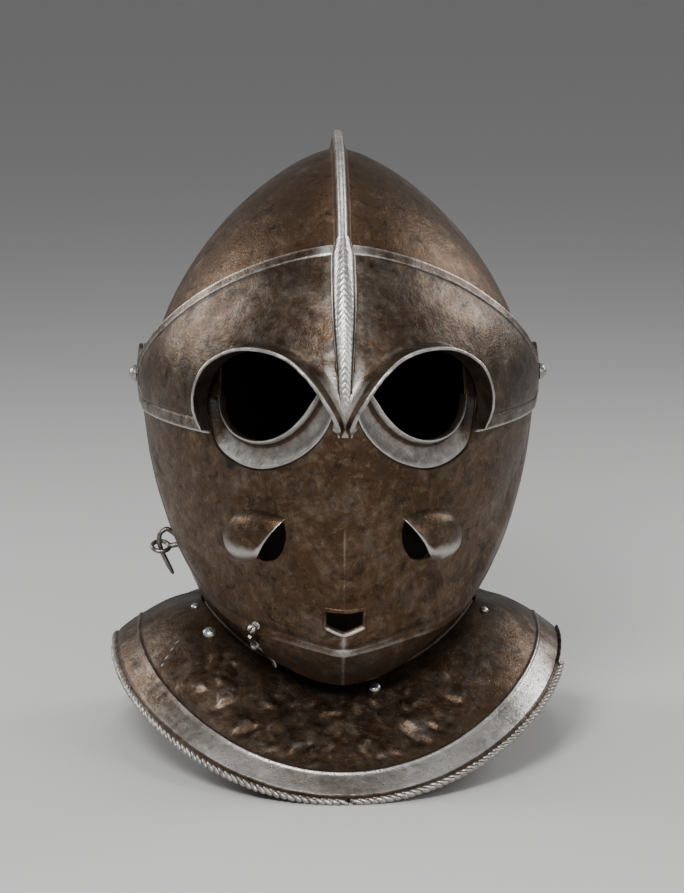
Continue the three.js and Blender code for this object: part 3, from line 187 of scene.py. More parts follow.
def to_line(points, line):
    """Distance from points to a line in the plane, and the nearest place on it."""
    a, b = line[:-1], line[1:]
    ab = b - a
    length = np.linalg.norm(ab, axis=1)
    best = np.full(len(points), np.inf)
    near = np.zeros_like(points)
    for k in range(len(a)):
        t = np.clip(((points - a[k]) @ ab[k]) / max(length[k] ** 2, 1e-12), 0, 1)
        q = a[k] + t[:, None] * ab[k]
        d = np.linalg.norm(points - q, axis=1)
        closer = d < best
        best = np.where(closer, d, best)
        near[closer] = q[closer]
    return best, near


def within(points, outline):
    x, y = points[:, 0], points[:, 1]
    inside = np.zeros(len(points), bool)
    for (x0, y0), (x1, y1) in zip(outline, np.roll(outline, -1, axis=0)):
        if y0 != y1:
            crosses = (y0 > y) != (y1 > y)
            inside ^= crosses & (x < (x1 - x0) * (y - y0) / (y1 - y0) + x0)
    return inside


def lumps(p, size, seed):
    """Soft random relief between -1 and 1, with hollows about as wide as size."""
    g = p / size + seed * 17.31
    cell = np.floor(g).astype(int)
    f = g - cell
    f = f * f * (3 - 2 * f)
    total = np.zeros(p.shape[:-1])
    for dx in (0, 1):
        for dy in (0, 1):
            for dz in (0, 1):
                c = cell + (dx, dy, dz)
                h = np.sin(c[..., 0] * 127.1 + c[..., 1] * 311.7 + c[..., 2] * 74.7 + seed * 9.1) * 43758.5453
                w = (f[..., 0] if dx else 1 - f[..., 0]) * (f[..., 1] if dy else 1 - f[..., 1])
                total += (h - np.floor(h)) * w * (f[..., 2] if dz else 1 - f[..., 2])
    return total * 2 - 1


def ease(x, low, high):
    t = np.clip((x - low) / (high - low), 0, 1)
    return t * t * (3 - 2 * t)


def bell(x, width):
    return np.exp(-(x / width) ** 2)


# Meshes. A part is its points, its faces and marks for the finish, one value a point: the bright mark paints
# rubbed steel and painted highlights, the second mark paints grime and painted shade, and the inside mark paints
# the inner faces as painted shade.
MARKS = ("bright", "grime", "inside")


def normals_of(points, faces):
    corners = np.array([f[:4] if len(f) >= 4 else [*f, f[-1]] for f in faces])
    a, b, c, d = (points[corners[:, k]] for k in range(4))
    facing = np.cross(c - a, d - b)
    total = np.zeros_like(points)
    for k in range(4):
        np.add.at(total, corners[:, k], facing)
    return total / np.maximum(np.linalg.norm(total, axis=1, keepdims=True), 1e-12)


def grid_faces(rows, columns, ring=False):
    i, j = np.meshgrid(np.arange(rows - 1), np.arange(columns if ring else columns - 1), indexing="ij")
    k = (j + 1) % columns
    faces = np.stack([i * columns + j, i * columns + k, (i + 1) * columns + k, (i + 1) * columns + j], -1)
    return faces.reshape(-1, 4)


def part_of(points, faces, **marks):
    marks = {key: np.broadcast_to(marks.get(key, 0.0), len(points)).astype(float) for key in MARKS}
    return points, faces, marks


UNDER_GORGET = np.array([0.0, 0.0, -420.0])


def open_grid(grid, about=(0.0, 0.0, 0.0), **marks):
    """Part over a grid of points, facing away from a place behind it."""
    rows, columns = grid.shape[:2]
    points = grid.reshape(-1, 3)
    faces = grid_faces(rows, columns)
    a, b, c, d = (points[faces[:, k]] for k in range(4))
    if (np.cross(c - a, d - b) * ((a + b + c + d) / 4 - about)).sum() < 0:
        faces = faces[:, ::-1]
    return part_of(points, faces, **{key: np.ravel(value) for key, value in marks.items()})


def without(part, unwanted):
    """Part less the faces that are marked, and less the points that only they used."""
    points, faces, marks = part
    kept = faces[~unwanted]
    used = np.unique(kept)
    number = np.full(len(points), -1)
    number[used] = np.arange(len(used))
    return points[used], number[kept], {key: value[used] for key, value in marks.items()}


def open_edges(faces, count):
    starts = faces.reshape(-1)
    ends = np.roll(faces, -1, axis=1).reshape(-1)
    alone = ~np.isin(starts * count + ends, ends * count + starts)
    return starts[alone], ends[alone]


def walled(part, thickness):
    """Closed plate whose outer face is the given part."""
    points, faces, marks = part
    count = len(points)
    inner = points - normals_of(points, faces) * np.broadcast_to(thickness, count)[:, None]
    a, b = open_edges(faces, count)
    faces = np.vstack([faces, faces[:, ::-1] + count, np.stack([b, a, a + count, b + count], -1)])
    marks = {key: np.concatenate([value, value]) for key, value in marks.items()}
    # The inner faces get the inside mark, which paints them near-black as painted shade.
    marks["inside"][count:] = 1
    return np.vstack([points, inner]), faces, marks


def swept(sections, capped=True, **marks):
    """Closed bar through sections, each a closed outline with the same number of points."""
    sections = np.asarray(sections, float)
    count, size = sections.shape[:2]
    points = sections.reshape(-1, 3)
    faces = [list(map(int, f)) for f in grid_faces(count, size, ring=True)]
    last = (count - 1) * size
    if capped:
        faces += [list(range(size))[::-1], list(range(last, count * size))]
    else:
        faces += [[last + j, last + (j + 1) % size, (j + 1) % size, j] for j in range(size)]
    corners = np.array([(f[0], f[k], f[k + 1]) for f in faces for k in range(1, len(f) - 1)])
    a, b, c = (points[corners[:, k]] for k in range(3))
    if (a * np.cross(b, c)).sum() < 0:
        faces = [f[::-1] for f in faces]
    return part_of(points, faces, **marks)


def mirrored(part):
    points, faces, marks = part
    return points * [-1, 1, 1], [list(f)[::-1] for f in faces], marks


def turned(profile, seat, normal, sides=24, **marks):
    """Round piece from (radius, height) rows, closed where its radius is nothing."""
    normal = np.array(normal, float) / np.linalg.norm(normal)
    aside = np.cross(normal, [0, 0, 1.0] if abs(normal[2]) < 0.9 else [0, 1.0, 0])
    aside /= np.linalg.norm(aside)
    across = np.cross(normal, aside)
    turn = np.radians(np.arange(sides) * 360 / sides)[:, None]
    spoke = aside * np.cos(turn) + across * np.sin(turn)
    rings = [np.array(seat) + normal * height + spoke * max(radius, 0.02) for radius, height in profile]
    return swept(rings, **marks)


def tube(path, radius, sides=14, up=(0, 0, 1), **marks):
    path = np.array(path, float)
    along = np.gradient(path, axis=0)
    along /= np.linalg.norm(along, axis=1, keepdims=True)
    aside = np.cross(along, up)
    aside /= np.linalg.norm(aside, axis=1, keepdims=True)
    over = np.cross(aside, along)
    turn = np.radians(np.arange(sides) * 360 / sides)
    radius = np.broadcast_to(radius, len(path))
    sections = [p + r * (np.outer(np.cos(turn), s) + np.outer(np.sin(turn), o))
                for p, r, s, o in zip(path, radius, aside, over)]
    return swept(sections, **marks)


def make_piece(name, parts, body, slot, nodes=(), crease=50):
    """One mesh from parts in millimetres about the pivot axis, riding on its body."""
    points = (np.vstack([p for p, _, _ in parts]) + PIVOT) / 1000
    faces, base = [], 0
    for p, f, _ in parts:
        faces += [[int(i) + base for i in face] for face in f]
        base += len(p)
    mesh = bpy.data.meshes.new(name)
    mesh.from_pydata(points.tolist(), [], faces)
    for key in MARKS:
        layer = mesh.attributes.new(key, "FLOAT", "POINT")
        layer.data.foreach_set("value", np.concatenate([m[key] for _, _, m in parts]).astype(np.float32))
    mesh.set_sharp_from_angle(angle=math.radians(crease))
    mesh.materials.append(FINISHES[slot])
    mesh.update()
    settle(mesh, body, nodes)


def settle(mesh, body, nodes=()):
    """Object for a finished mesh, in place of its CAD nodes and riding on its body."""
    mesh.polygons.foreach_set("use_smooth", [True] * len(mesh.polygons))
    piece = bpy.data.objects.new(mesh.name, mesh)
    bpy.context.scene.collection.objects.link(piece)
    if nodes:
        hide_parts(*nodes)
    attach(piece, body)


# Finishes
class Amount:
    """A number over the surface, which adds its maths nodes as it is reckoned with."""

    def __init__(self, finish, socket):
        self.finish, self.socket = finish, socket

    def maths(self, operation, *values):
        made = self.finish.node("ShaderNodeMath", {"operation": operation}, dict(enumerate(values)))
        return Amount(self.finish, made.outputs[0])

    def __add__(self, other):
        return self.maths("ADD", self, other)

    def __sub__(self, other):
        return self.maths("SUBTRACT", self, other)

    def __rsub__(self, other):
        return self.maths("SUBTRACT", other, self)

    def __mul__(self, other):
        return self.maths("MULTIPLY", self, other)

    __radd__, __rmul__ = __add__, __mul__

    def ease(self, low, high):
        made = self.finish.node("ShaderNodeMapRange", {"interpolation_type": "SMOOTHSTEP"},
                                {"Value": self, "From Min": low, "From Max": high})
        return Amount(self.finish, made.outputs[0])

    def absolute(self):
        return self.maths("ABSOLUTE", self)

    def at_most(self, other):
        return self.maths("MINIMUM", self, other)

    def at_least(self, other):
        return self.maths("MAXIMUM", self, other)


class Finish:
    """A material under way, with one method for every node in it."""

    def __init__(self, name):
        self.material = bpy.data.materials.new(name)
        self.material.use_nodes = True
        self.tree = self.material.node_tree
        self.tree.nodes.clear()
        self.place = self.node("ShaderNodeTexCoord").outputs["Object"]

    def node(self, kind, settings=None, sockets=None):
        made = self.tree.nodes.new(kind)
        for key, value in (settings or {}).items():
            setattr(made, key, value)
        for key, value in (sockets or {}).items():
            value = value.socket if isinstance(value, Amount) else value
            if isinstance(value, bpy.types.NodeSocket):
                self.tree.links.new(value, made.inputs[key])
            else:
                made.inputs[key].default_value = value
        return made

    def mark(self, name):
        return Amount(self, self.node("ShaderNodeAttribute", {"attribute_name": name}).outputs["Fac"])

    def cloud(self, scale, detail, roughness, distortion=0.0):
        made = self.node("ShaderNodeTexNoise", None, {
            "Vector": self.place, "Scale": scale, "Detail": detail, "Roughness": roughness,
            "Distortion": distortion})
        return Amount(self, made.outputs["Fac"])

    def cells(self, scale):
        made = self.node("ShaderNodeTexVoronoi", None, {"Vector": self.place, "Scale": scale})
        return Amount(self, made.outputs["Distance"])

    def mix(self, under, over, share):
        made = self.node("ShaderNodeMix", {"data_type": "RGBA"}, {"Factor": share, 6: under, 7: over})
        return made.outputs[2]

    def close(self, colour, metallic, roughness, relief, depth):
        bump = self.node("ShaderNodeBump", None, {"Height": relief, "Distance": depth, "Strength": 1.0})
        shader = self.node("ShaderNodeBsdfPrincipled", None, {
            "Base Color": colour, "Metallic": metallic, "Roughness": roughness,
            "Normal": bump.outputs[0]})
        self.node("ShaderNodeOutputMaterial", None, {"Surface": shader.outputs[0]})
        return self.material


# Near-black for dark oxide spots, also laid on as painted shade.
SOOT_AND_SHADE = (0.008, 0.006, 0.005, 1)
UMBER = (0.030, 0.020, 0.0135, 1)
RUSSET = (0.082, 0.047, 0.025, 1)
TAN = (0.200, 0.132, 0.078, 1)
STEEL = (0.175, 0.160, 0.140, 1)
SILVER = (0.52, 0.50, 0.47, 1)


def aged_steel(name, russet, worn, gloss, pitted, veined):
    """Oxidised steel: umber and russet clouds, grey where it is rubbed, silver along the worn edges and as
    painted highlights, near-black as grime and painted shade, and over the inner faces as painted shade.
    """
    f = Finish(name)
    bright, grime, inside = f.mark("bright"), f.mark("grime"), f.mark("inside")
    broad = f.cloud(15, 3, 0.55)
    patchy = f.cloud(42, 5, 0.62, 0.8)
    fine = f.cloud(190, 6, 0.68)
    grain = f.cloud(760, 3, 0.6)
    net = f.cloud(70, 3, 0.6, 1.6)
    spots = f.cloud(95, 3, 0.6, 0.9)
    mottle = f.cloud(120, 6, 0.72, 0.5)
    pits = f.cells(420)

    rust = (broad * 0.6 + patchy * 0.8 + (russet - 0.72)).ease(0.02, 0.75)
    colour = f.mix(UMBER, RUSSET, rust)
    veins = (net - 0.5).absolute().ease(0.0, 0.045)
    colour = f.mix(colour, TAN, (1 - veins) * fine.ease(0.35, 0.75) * veined)
    colour = f.mix(colour, TAN, mottle.ease(0.50, 0.66) * patchy.ease(0.38, 0.62) * 0.6)
    colour = f.mix(colour, SOOT_AND_SHADE, (1 - mottle.ease(0.34, 0.47)) * 0.6)
    bare = (fine * 0.55 + patchy * 0.55 + (worn - 0.5)).ease(0.06, 0.5)
    colour = f.mix(colour, STEEL, bare * 0.75)
    dark = spots.ease(0.52, 0.74) * 0.7
    colour = f.mix(colour, SOOT_AND_SHADE, dark * (1 - bright * 0.7))
    # Silver from the bright mark: rubbed steel, and painted highlights where the mark stands for light.
    rub_and_highlight = (bright * 1.15 - (1 - fine) * 0.34 - (1 - patchy) * 0.20).ease(0.0, 0.62)
    colour = f.mix(colour, SILVER, rub_and_highlight)
    specks = (1 - pits.ease(0.05, 0.30)) * grain.ease(0.40, 0.62)
    colour = f.mix(colour, UMBER, specks * (0.35 + 0.55 * pitted))
    # Near-black from the second mark, grime and painted shade, and from the inside mark, painted shade over the
    # inner faces.
    colour = f.mix(colour, SOOT_AND_SHADE, (grime + inside * 0.8).at_most(0.97))

    roughness = fine * 0.26 + dark * 0.18 + (gloss - 0.12) + inside * 0.3 + specks * 0.1 - rub_and_highlight * 0.08
    metallic = (0.94 - dark * 0.25 - grime * 0.5 - inside * 0.5).at_least(0.1)
    relief = fine * 0.30 + grain * 0.10 + patchy * 0.5 - specks * (0.25 * pitted)
    return f.close(colour, metallic, roughness.at_least(0.18), relief, 0.0010)


STEELS = {  # russet, worn, gloss, pitted, veined
    "skull_steel": (0.66, 0.02, 0.42, 0.5, 0.0),
    "brow_steel": (0.48, 0.14, 0.38, 0.5, 0.0),
    "mask_steel": (0.62, 0.08, 0.40, 0.5, 0.75),
    "jaw_steel": (0.60, 0.08, 0.40, 0.5, 0.4),
    "gorget_steel": (0.58, 0.12, 0.38, 0.8, 0.2),
    "bolt_steel": (0.30, 0.45, 0.34, 0.2, 0.0),
    "hook_steel": (0.35, 0.35, 0.36, 0.3, 0.0),
    "rivet_steel": (0.25, 0.55, 0.32, 0.3, 0.0)}
FINISHES = {name: aged_steel(name, *amounts) for name, amounts in STEELS.items()}


# Plates
def even(columns):
    return np.sin(np.linspace(-1, 1, columns) * np.pi / 2)


def plate_rows(length, band_low, low_rows, middle_rows, band_high, high_rows):
    """Shares of each column's length, close together in a band along either edge."""
    low = np.minimum(band_low, 0.2 * length)
    high = np.minimum(band_high, 0.2 * length)
    out = [low * k / low_rows for k in range(low_rows)] if low_rows else []
    out += [low + (length - low - high) * k / middle_rows for k in range(middle_rows + 1)]
    out += [length - high + high * k / high_rows for k in range(1, high_rows + 1)] if high_rows else []
    return np.array(out) / length


class Plate:
    """Grid over a form between two edges, kept as angle and share for each point."""

    def __init__(self, form, offset, columns, low, high, bands):
        shares = even(columns)
        low, high = (edge(shares) if callable(edge) else np.full(columns, float(edge))
                     for edge in (low, high))
        reach = form.distance((low + high) / 2, shares * 0.98, offset)
        length = np.radians(high - low) * np.maximum(reach, EAR_RADIUS)
        rows = plate_rows(length, *bands)
        self.angle = low + (high - low) * rows
        self.share = shares * form.share_at_ear(self.angle)
        self.from_low = rows * length
        self.from_high = (1 - rows) * length
        self.grid = form.point(self.angle, self.share, offset)

    @property
    def normals(self):
        points, faces, _ = open_grid(self.grid)
        return normals_of(points, faces).reshape(self.grid.shape)


def ears(half_width, thickness, **marks):
    """Round ears over the pivots."""
    rings = np.array([BOLT_BORE, 3.4, 5, 7.5, 10, 12.5, 14.5, 16, EAR_RADIUS])
    offsets = [0.1] * 8 + [-0.25]
    turns = np.radians(np.arange(0, 360, 7.5))

    def dish(distance, offset):
        drop = 1 - (distance / EAR_FORM["radius"]) ** EAR_FORM["over"]
        return (half_width + offset) * drop ** (1 / EAR_FORM["side"])

    sections = []
    for turn in turns:
        outer = [(dish(d, o), -d * np.cos(turn), d * np.sin(turn)) for d, o in zip(rings, offsets)]
        inner = [(dish(d, -thickness - 0.1), -d * np.cos(turn), d * np.sin(turn)) for d in rings[::-1]]
        sections.append(outer + inner)
    ear = swept(sections, capped=False, **marks)
    return [ear, mirrored(ear)]


def bottom_open(part):
    """Plate with the neck's opening cut out of its underside."""
    points, faces, marks = part
    underside, near = -90, 0.08

    def through(p):
        depth = np.where(p[:, 1] < 0, NECK["front"], NECK["rear"])
        return np.hypot(p[:, 0] / NECK["half"], p[:, 1] / depth)

    middle = points[faces].mean(1)
    points, faces, marks = without(part, (middle[:, 2] < underside) & (through(middle) < 1))
    edge = np.unique(open_edges(faces, len(points))[0])
    edge = edge[(points[edge, 2] < underside) & (np.abs(through(points[edge]) - 1) < near)]
    points[edge, :2] /= through(points[edge])[:, None]
    return points, faces, marks


# Gorget form
NEAR_RIM = np.concatenate([np.arange(0, 5.2, 0.65), np.arange(5.2, 17.5, 1.4), np.arange(17.6, 22.6, 0.55)])


def oval(size, azimuth):
    a = np.radians(azimuth)
    ahead = np.cos(a) > 0
    depth = np.where(ahead, size["front"], size["rear"])
    return size["half"] * np.sin(a), np.where(ahead, -SHOULDER, SHOULDER) - (depth - SHOULDER) * np.cos(a)


def gorget_point(azimuth, share):
    azimuth, share = np.broadcast_arrays(np.asarray(azimuth, float), np.asarray(share, float))
    flat = np.unique(azimuth)
    x, y = oval(COLLAR, flat)
    through = np.stack([x, y, np.full_like(x, -120.0)], -1)
    on_bevor = lower_form.meet(through, np.array([0, 0, -1.0]), -(RUNNING_GAP + PLATE) + COLLAR["gap"], 100)
    level = on_bevor[:, 2][np.searchsorted(flat, azimuth)]
    a = np.radians(azimuth)
    from_back = np.maximum(np.abs(180 - azimuth) - 30, 0) * 1.5
    f = np.radians(np.where(np.cos(a) > 0, azimuth, from_back))
    rise = (np.sin(f) ** 2 + 1 - np.cos(f)) / 2
    rim_level = RIM["low"] + (RIM["side"] - RIM["low"]) * rise
    (x0, y0), (x1, y1) = oval(COLLAR, azimuth), oval(RIM, azimuth)
    ahead = np.maximum(np.cos(a), 0) ** 2
    drop = share ** (FLARE + (FLARE_FRONT - FLARE) * ahead)
    return np.stack([x0 + (x1 - x0) * share, y0 + (y1 - y0) * share, level + (rim_level - level) * drop], -1)


def gorget_grid(azimuth, shift, others):
    """Rows from the rim inwards: close together near the rim, then even."""
    fine = np.linspace(0, 0.98, 90)
    dense = gorget_point(azimuth[None, :], fine[:, None])
    run = np.concatenate([np.zeros((1, len(azimuth))), np.cumsum(
        np.linalg.norm(np.diff(dense, axis=0), axis=2), axis=0)])
    length = run[-1]
    last = NEAR_RIM[-1]
    distance = np.array([np.full(len(azimuth), d) for d in NEAR_RIM]
                        + [last + (length - last) * k / others for k in range(1, others + 1)])
    share = np.array([np.interp(length[j] - distance[:, j], run[:, j], fine) for j in range(len(azimuth))]).T
    grid = gorget_point(azimuth[None, :], share)
    grid[..., 1] += shift[None, :]
    return grid, distance, share


def lifted(grid, height):
    """Part of the gorget moved outwards along its own normals."""
    points, faces, _ = open_grid(grid, UNDER_GORGET)
    normals = normals_of(points, faces).reshape(grid.shape)
    return grid + normals * np.asarray(height)[..., None]


def roping(name, path, up, body, seed, keep=lambda place: np.ones(len(place), bool)):
    """Slanting lobes filed into a rolled rim, set along a path by a node tree."""
    run = np.concatenate([[0], np.cumsum(np.linalg.norm(np.diff(path, axis=0), axis=1))])
    at = np.linspace(0, run[-1], int(run[-1] / LOBE_PITCH) + 1)
    place, top = (np.stack([np.interp(at, run, values[:, k]) for k in range(3)], -1)
                  for values in (path, up))
    turns = []
    for t, n in zip(np.gradient(place, axis=0), top):
        t, n = Vector(t).normalized(), Vector(n).normalized()
        side = n.cross(t).normalized()
        n = t.cross(side)
        turns.append(Matrix((t, side, n)).transposed().to_euler())
    kept = keep(place)
    places = places_mesh(name, place[kept], np.array(turns)[kept])
    grown(name, places, LOBES, {"Length": 0.0042, "Width": 0.00185, "Slant": 1.1, "Seed": seed}, body,
          "gorget_steel", bright=0.55)


def places_mesh(name, places, turns, widths=None):
    """Points in millimetres about the pivot axis, with a turn and perhaps a width for each."""
    mesh = bpy.data.meshes.new(name + "_places")
    mesh.from_pydata(((np.array(places) + PIVOT) / 1000).tolist(), [], [])
    turn = mesh.attributes.new("turn", "FLOAT_VECTOR", "POINT")
    turn.data.foreach_set("vector", np.array(turns, np.float32).ravel())
    if widths:
        width = mesh.attributes.new("width", "FLOAT", "POINT")
        width.data.foreach_set("value", np.array(widths, np.float32))
    return mesh


def tree_of(name, sizes):
    """Node tree with the places first, then its sizes, the seed and the finish."""
    tree = bpy.data.node_groups.new(name, "GeometryNodeTree")
    for label, kind in (("Places", "Geometry"), *((size, "Float") for size in sizes), ("Seed", "Int"),
                        ("Finish", "Material")):
        tree.interface.new_socket(label, in_out="INPUT", socket_type="NodeSocket" + kind)
    tree.interface.new_socket("Made", in_out="OUTPUT", socket_type="NodeSocketGeometry")
    return tree, add(tree, "NodeGroupInput")


def add(tree, kind, settings=None, sockets=None):
    made = tree.nodes.new(kind)
    for key, value in (settings or {}).items():
        setattr(made, key, value)
    for key, value in (sockets or {}).items():
        if isinstance(value, bpy.types.NodeSocket):
            tree.links.new(value, made.inputs[key])
        else:
            made.inputs[key].default_value = value
    return made


def turn_of(tree):
    """The turn that the places carry."""
    named = add(tree, "GeometryNodeInputNamedAttribute", {"data_type": "FLOAT_VECTOR"}, {"Name": "turn"})
    return add(tree, "FunctionNodeEulerToRotation", None, {0: named.outputs[0]}).outputs[0]


def set_out(tree, given, shape, turn, size):
    """The shape at each place, made one mesh and given its finish."""
    placed = add(tree, "GeometryNodeInstanceOnPoints", None, {
        "Points": given.outputs["Places"], "Instance": shape, "Rotation": turn, "Scale": size})
    whole = add(tree, "GeometryNodeRealizeInstances", None, {0: placed.outputs[0]})
    finished = add(tree, "GeometryNodeSetMaterial", None, {
        0: whole.outputs[0], "Material": given.outputs["Finish"]})
    add(tree, "NodeGroupOutput", None, {0: finished.outputs[0]})
    return tree


def lobe_tree():
    """Lobes on points: each a small rounded block, slanted, a little uneven."""
    tree, given = tree_of("roping_lobes", ("Length", "Width", "Slant"))
    ball = add(tree, "GeometryNodeMeshUVSphere", None, {"Segments": 10, "Rings": 6, "Radius": 1.0})
    wide = add(tree, "ShaderNodeMath", {"operation": "MULTIPLY"}, {0: given.outputs["Width"], 1: 0.82})
    size = add(tree, "ShaderNodeCombineXYZ", None, {
        "X": wide.outputs[0], "Y": given.outputs["Length"], "Z": given.outputs["Width"]})
    turn = add(tree, "ShaderNodeCombineXYZ", None, {"Z": given.outputs["Slant"]})
    shaped = add(tree, "GeometryNodeTransform", None, {
        "Geometry": ball.outputs["Mesh"], "Scale": size.outputs[0]})
    slanted = add(tree, "GeometryNodeTransform", None, {
        "Geometry": shaped.outputs[0], "Rotation": turn.outputs[0]})
    uneven = add(tree, "FunctionNodeRandomValue", {"data_type": "FLOAT_VECTOR"}, {
        0: (0.9, 0.86, 0.84), 1: (1.06, 1.04, 1.02), "Seed": given.outputs["Seed"]})
    return set_out(tree, given, slanted.outputs[0], turn_of(tree), uneven.outputs[0])


def head_tree():
    """Hammered heads on points: low domes, each a little flat and turned its own way."""
    tree, given = tree_of("hammered_heads", ("Radius",))
    ball = add(tree, "GeometryNodeMeshUVSphere", None, {"Segments": 18, "Rings": 10, "Radius": 1.0})
    place = add(tree, "GeometryNodeInputPosition")
    dents = add(tree, "ShaderNodeTexNoise", None, {"Vector": place.outputs[0], "Scale": 1.7, "Detail": 1.0})
    push = add(tree, "ShaderNodeMapRange", None, {
        "Value": dents.outputs["Fac"], "To Min": 0.88, "To Max": 1.10})
    pushed = add(tree, "ShaderNodeVectorMath", {"operation": "SCALE"}, {
        0: place.outputs[0], "Scale": push.outputs[0]})
    dented = add(tree, "GeometryNodeSetPosition", None, {
        "Geometry": ball.outputs["Mesh"], "Position": pushed.outputs[0]})
    low = add(tree, "GeometryNodeTransform", None, {"Geometry": dented.outputs[0], "Scale": (1, 1, 0.66)})
    width = add(tree, "GeometryNodeInputNamedAttribute", {"data_type": "FLOAT"}, {"Name": "width"})
    size = add(tree, "ShaderNodeMath", {"operation": "MULTIPLY"}, {
        0: width.outputs[0], 1: given.outputs["Radius"]})
    spin = add(tree, "FunctionNodeRandomValue", {"data_type": "FLOAT"}, {
        2: 0.0, 3: 6.28, "Seed": given.outputs["Seed"]})
    about = add(tree, "ShaderNodeCombineXYZ", None, {"Z": spin.outputs[1]})
    spun = add(tree, "FunctionNodeRotateRotation", {"rotation_space": "LOCAL"}, {
        0: turn_of(tree), 1: about.outputs[0]})
    return set_out(tree, given, low.outputs[0], spun.outputs[0], size.outputs[0])


def grown(name, places, tree, values, body, slot, nodes=(), bright=0.0):
    """Plain mesh from a node tree on places, settled on its body."""
    holder = bpy.data.objects.new(name + "_holder", places)
    bpy.context.scene.collection.objects.link(holder)
    grow = holder.modifiers.new("grow", "NODES")
    grow.node_group = tree
    sockets = {item.name: item.identifier for item in tree.interface.items_tree if item.in_out == "INPUT"}
    for label, value in {**values, "Finish": FINISHES[slot]}.items():
        grow[sockets[label]] = value
    seen = holder.evaluated_get(bpy.context.evaluated_depsgraph_get())
    mesh = bpy.data.meshes.new_from_object(seen)
    holder.modifiers.remove(grow)
    bpy.data.objects.remove(holder)
    mesh.name = name
    points = np.empty(len(mesh.vertices) * 3)
    mesh.vertices.foreach_get("co", points)
    points[2::3] = np.maximum(points[2::3], 0.0)
    mesh.vertices.foreach_set("co", points)
    for key in MARKS:
        layer = mesh.attributes.new(key, "FLOAT", "POINT")
        layer.data.foreach_set("value", [bright if key == "bright" else 0.0] * len(mesh.vertices))
    settle(mesh, body, nodes)


# Skull
def make_skull():
    plate = Plate(skull_form, 0, 121, SKULL_FROM, SKULL_TO, (0, 0, 176, 0, 0))
    hammered = 0.22 * lumps(plate.grid, 26.0, 1) + 0.10 * lumps(plate.grid, 9.0, 2)
    grid = plate.grid + plate.normals * hammered[..., None]
    rubbed = 0.10 * np.maximum(lumps(plate.grid, 30.0, 3), 0)
    crown = 0.55 * bell(plate.grid[..., 0], 5.0) * (plate.angle < COMB_TO)
    sheet = bottom_open(open_grid(grid, bright=rubbed, grime=0.25 * crown))
    parts = [walled(sheet, SKULL_PLATE), *ears(SKULL_HALF_WIDTH, SKULL_PLATE), comb()]
    parts.append(flange(np.linspace(112, 248, 60), 2.5, 8.5, REAR_SINK + FLANGE_SINK))
    make_piece("skull_shell", parts, "skull_body", "skull_steel", ["skull"])


def comb():
    """Comb swept round the crown, crisp on top, with a soft foot each side."""
    foot, top, flank = 120.5, 133, 130
    outline = COMB_SECTION + [(-x, r) for x, r in COMB_SECTION[::-1]]
    sections, bright = [], []
    for angle in np.linspace(COMB_FROM, COMB_TO, 118):
        dying = ease(COMB_TO - angle, 0, 16)
        worn = 0.12 * math.sin(angle * 1.7) + 0.10 * math.sin(angle * 0.61 + 1) - 0.24
        sections.append([polar(foot + (r - foot + worn * (r > top)) * (0.12 + 0.88 * dying), angle, x)
                         for x, r in outline])
        bright.append([0.8 if r > top else 0.4 if r > flank else 0.0 for _, r in outline])
    return swept(sections, bright=np.ravel(bright))


def flange(azimuth, inwards, up, sink):
    """Neck flange, running out from inside the shell under the gorget."""
    share = np.array([0.0, 0.06, 0.12, 0.18, 0.24])
    grid = gorget_point(azimuth[None, :], share[:, None])
    outwards = grid[1, :, :2] - grid[0, :, :2]
    outwards /= np.linalg.norm(outwards, axis=1, keepdims=True)
    grid = lifted(grid, -sink)
    start = grid[:1].copy()
    start[0, :, :2] -= outwards * inwards
    start[0, :, 2] += up
    # The flange carries half the inside mark: painted shade where it runs under the gorget.
    return walled(open_grid(np.concatenate([start, grid]), UNDER_GORGET, inside=0.5), FLANGE_PLATE)


# Eyes, in a frame that looks outwards from the viewer's right one
EYE_CENTRE = np.array([42.0, -115.0, 0.0])
EYE_OUT = np.array([math.sin(math.radians(35)) * math.cos(math.radians(8)),
                    -math.cos(math.radians(35)) * math.cos(math.radians(8)), math.sin(math.radians(8))])
EYE_SIDE = np.cross([0, 0, 1.0], EYE_OUT)
EYE_SIDE /= np.linalg.norm(EYE_SIDE)
EYE_UP = np.cross(EYE_OUT, EYE_SIDE)


def in_eye(points):
    from_centre = points * np.where(points[..., :1] < 0, [-1, 1, 1], [1, 1, 1]) - EYE_CENTRE
    return np.stack([from_centre @ EYE_SIDE, from_centre @ EYE_UP], -1)


def eye_point(form, places, height=0.0):
    through = EYE_CENTRE + places[..., :1] * EYE_SIDE + places[..., 1:2] * EYE_UP
    direction = np.broadcast_to(EYE_OUT, through.shape)
    return form.meet(through, direction, 0.0, 60) + EYE_OUT * np.asarray(height)[..., None]


def snapped_hole(part, outline, flat, on_form, zone=lambda p: p[:, 1] < 0, both_sides=True, reach=1.9):
    """Hole cut along an outline drawn in a flat frame, its edge then drawn onto the outline."""
    points, faces, marks = part
    middle = points[faces].mean(1)
    points, faces, marks = without(part, zone(middle) & within(flat(middle), outline))
    edge = np.unique(open_edges(faces, len(points))[0])
    edge = edge[zone(points[edge])]
    distance, near = to_line(flat(points[edge]), np.vstack([outline, outline[:1]]))
    edge, near = edge[distance < reach], near[distance < reach]
    side = np.where(points[edge, :1] < 0, [-1, 1, 1], [1, 1, 1]) if both_sides else 1
    points[edge] = on_form(near) * side
    return points, faces, marks


def away_from(line):
    """Directions away from the middle of the eye, along a line of places."""
    along = np.gradient(line, axis=0)
    away = np.stack([along[:, 1], -along[:, 0]], -1) / np.linalg.norm(along, axis=1, keepdims=True)
    return np.where(((away * line).sum(1) > 0)[:, None], away, -away)


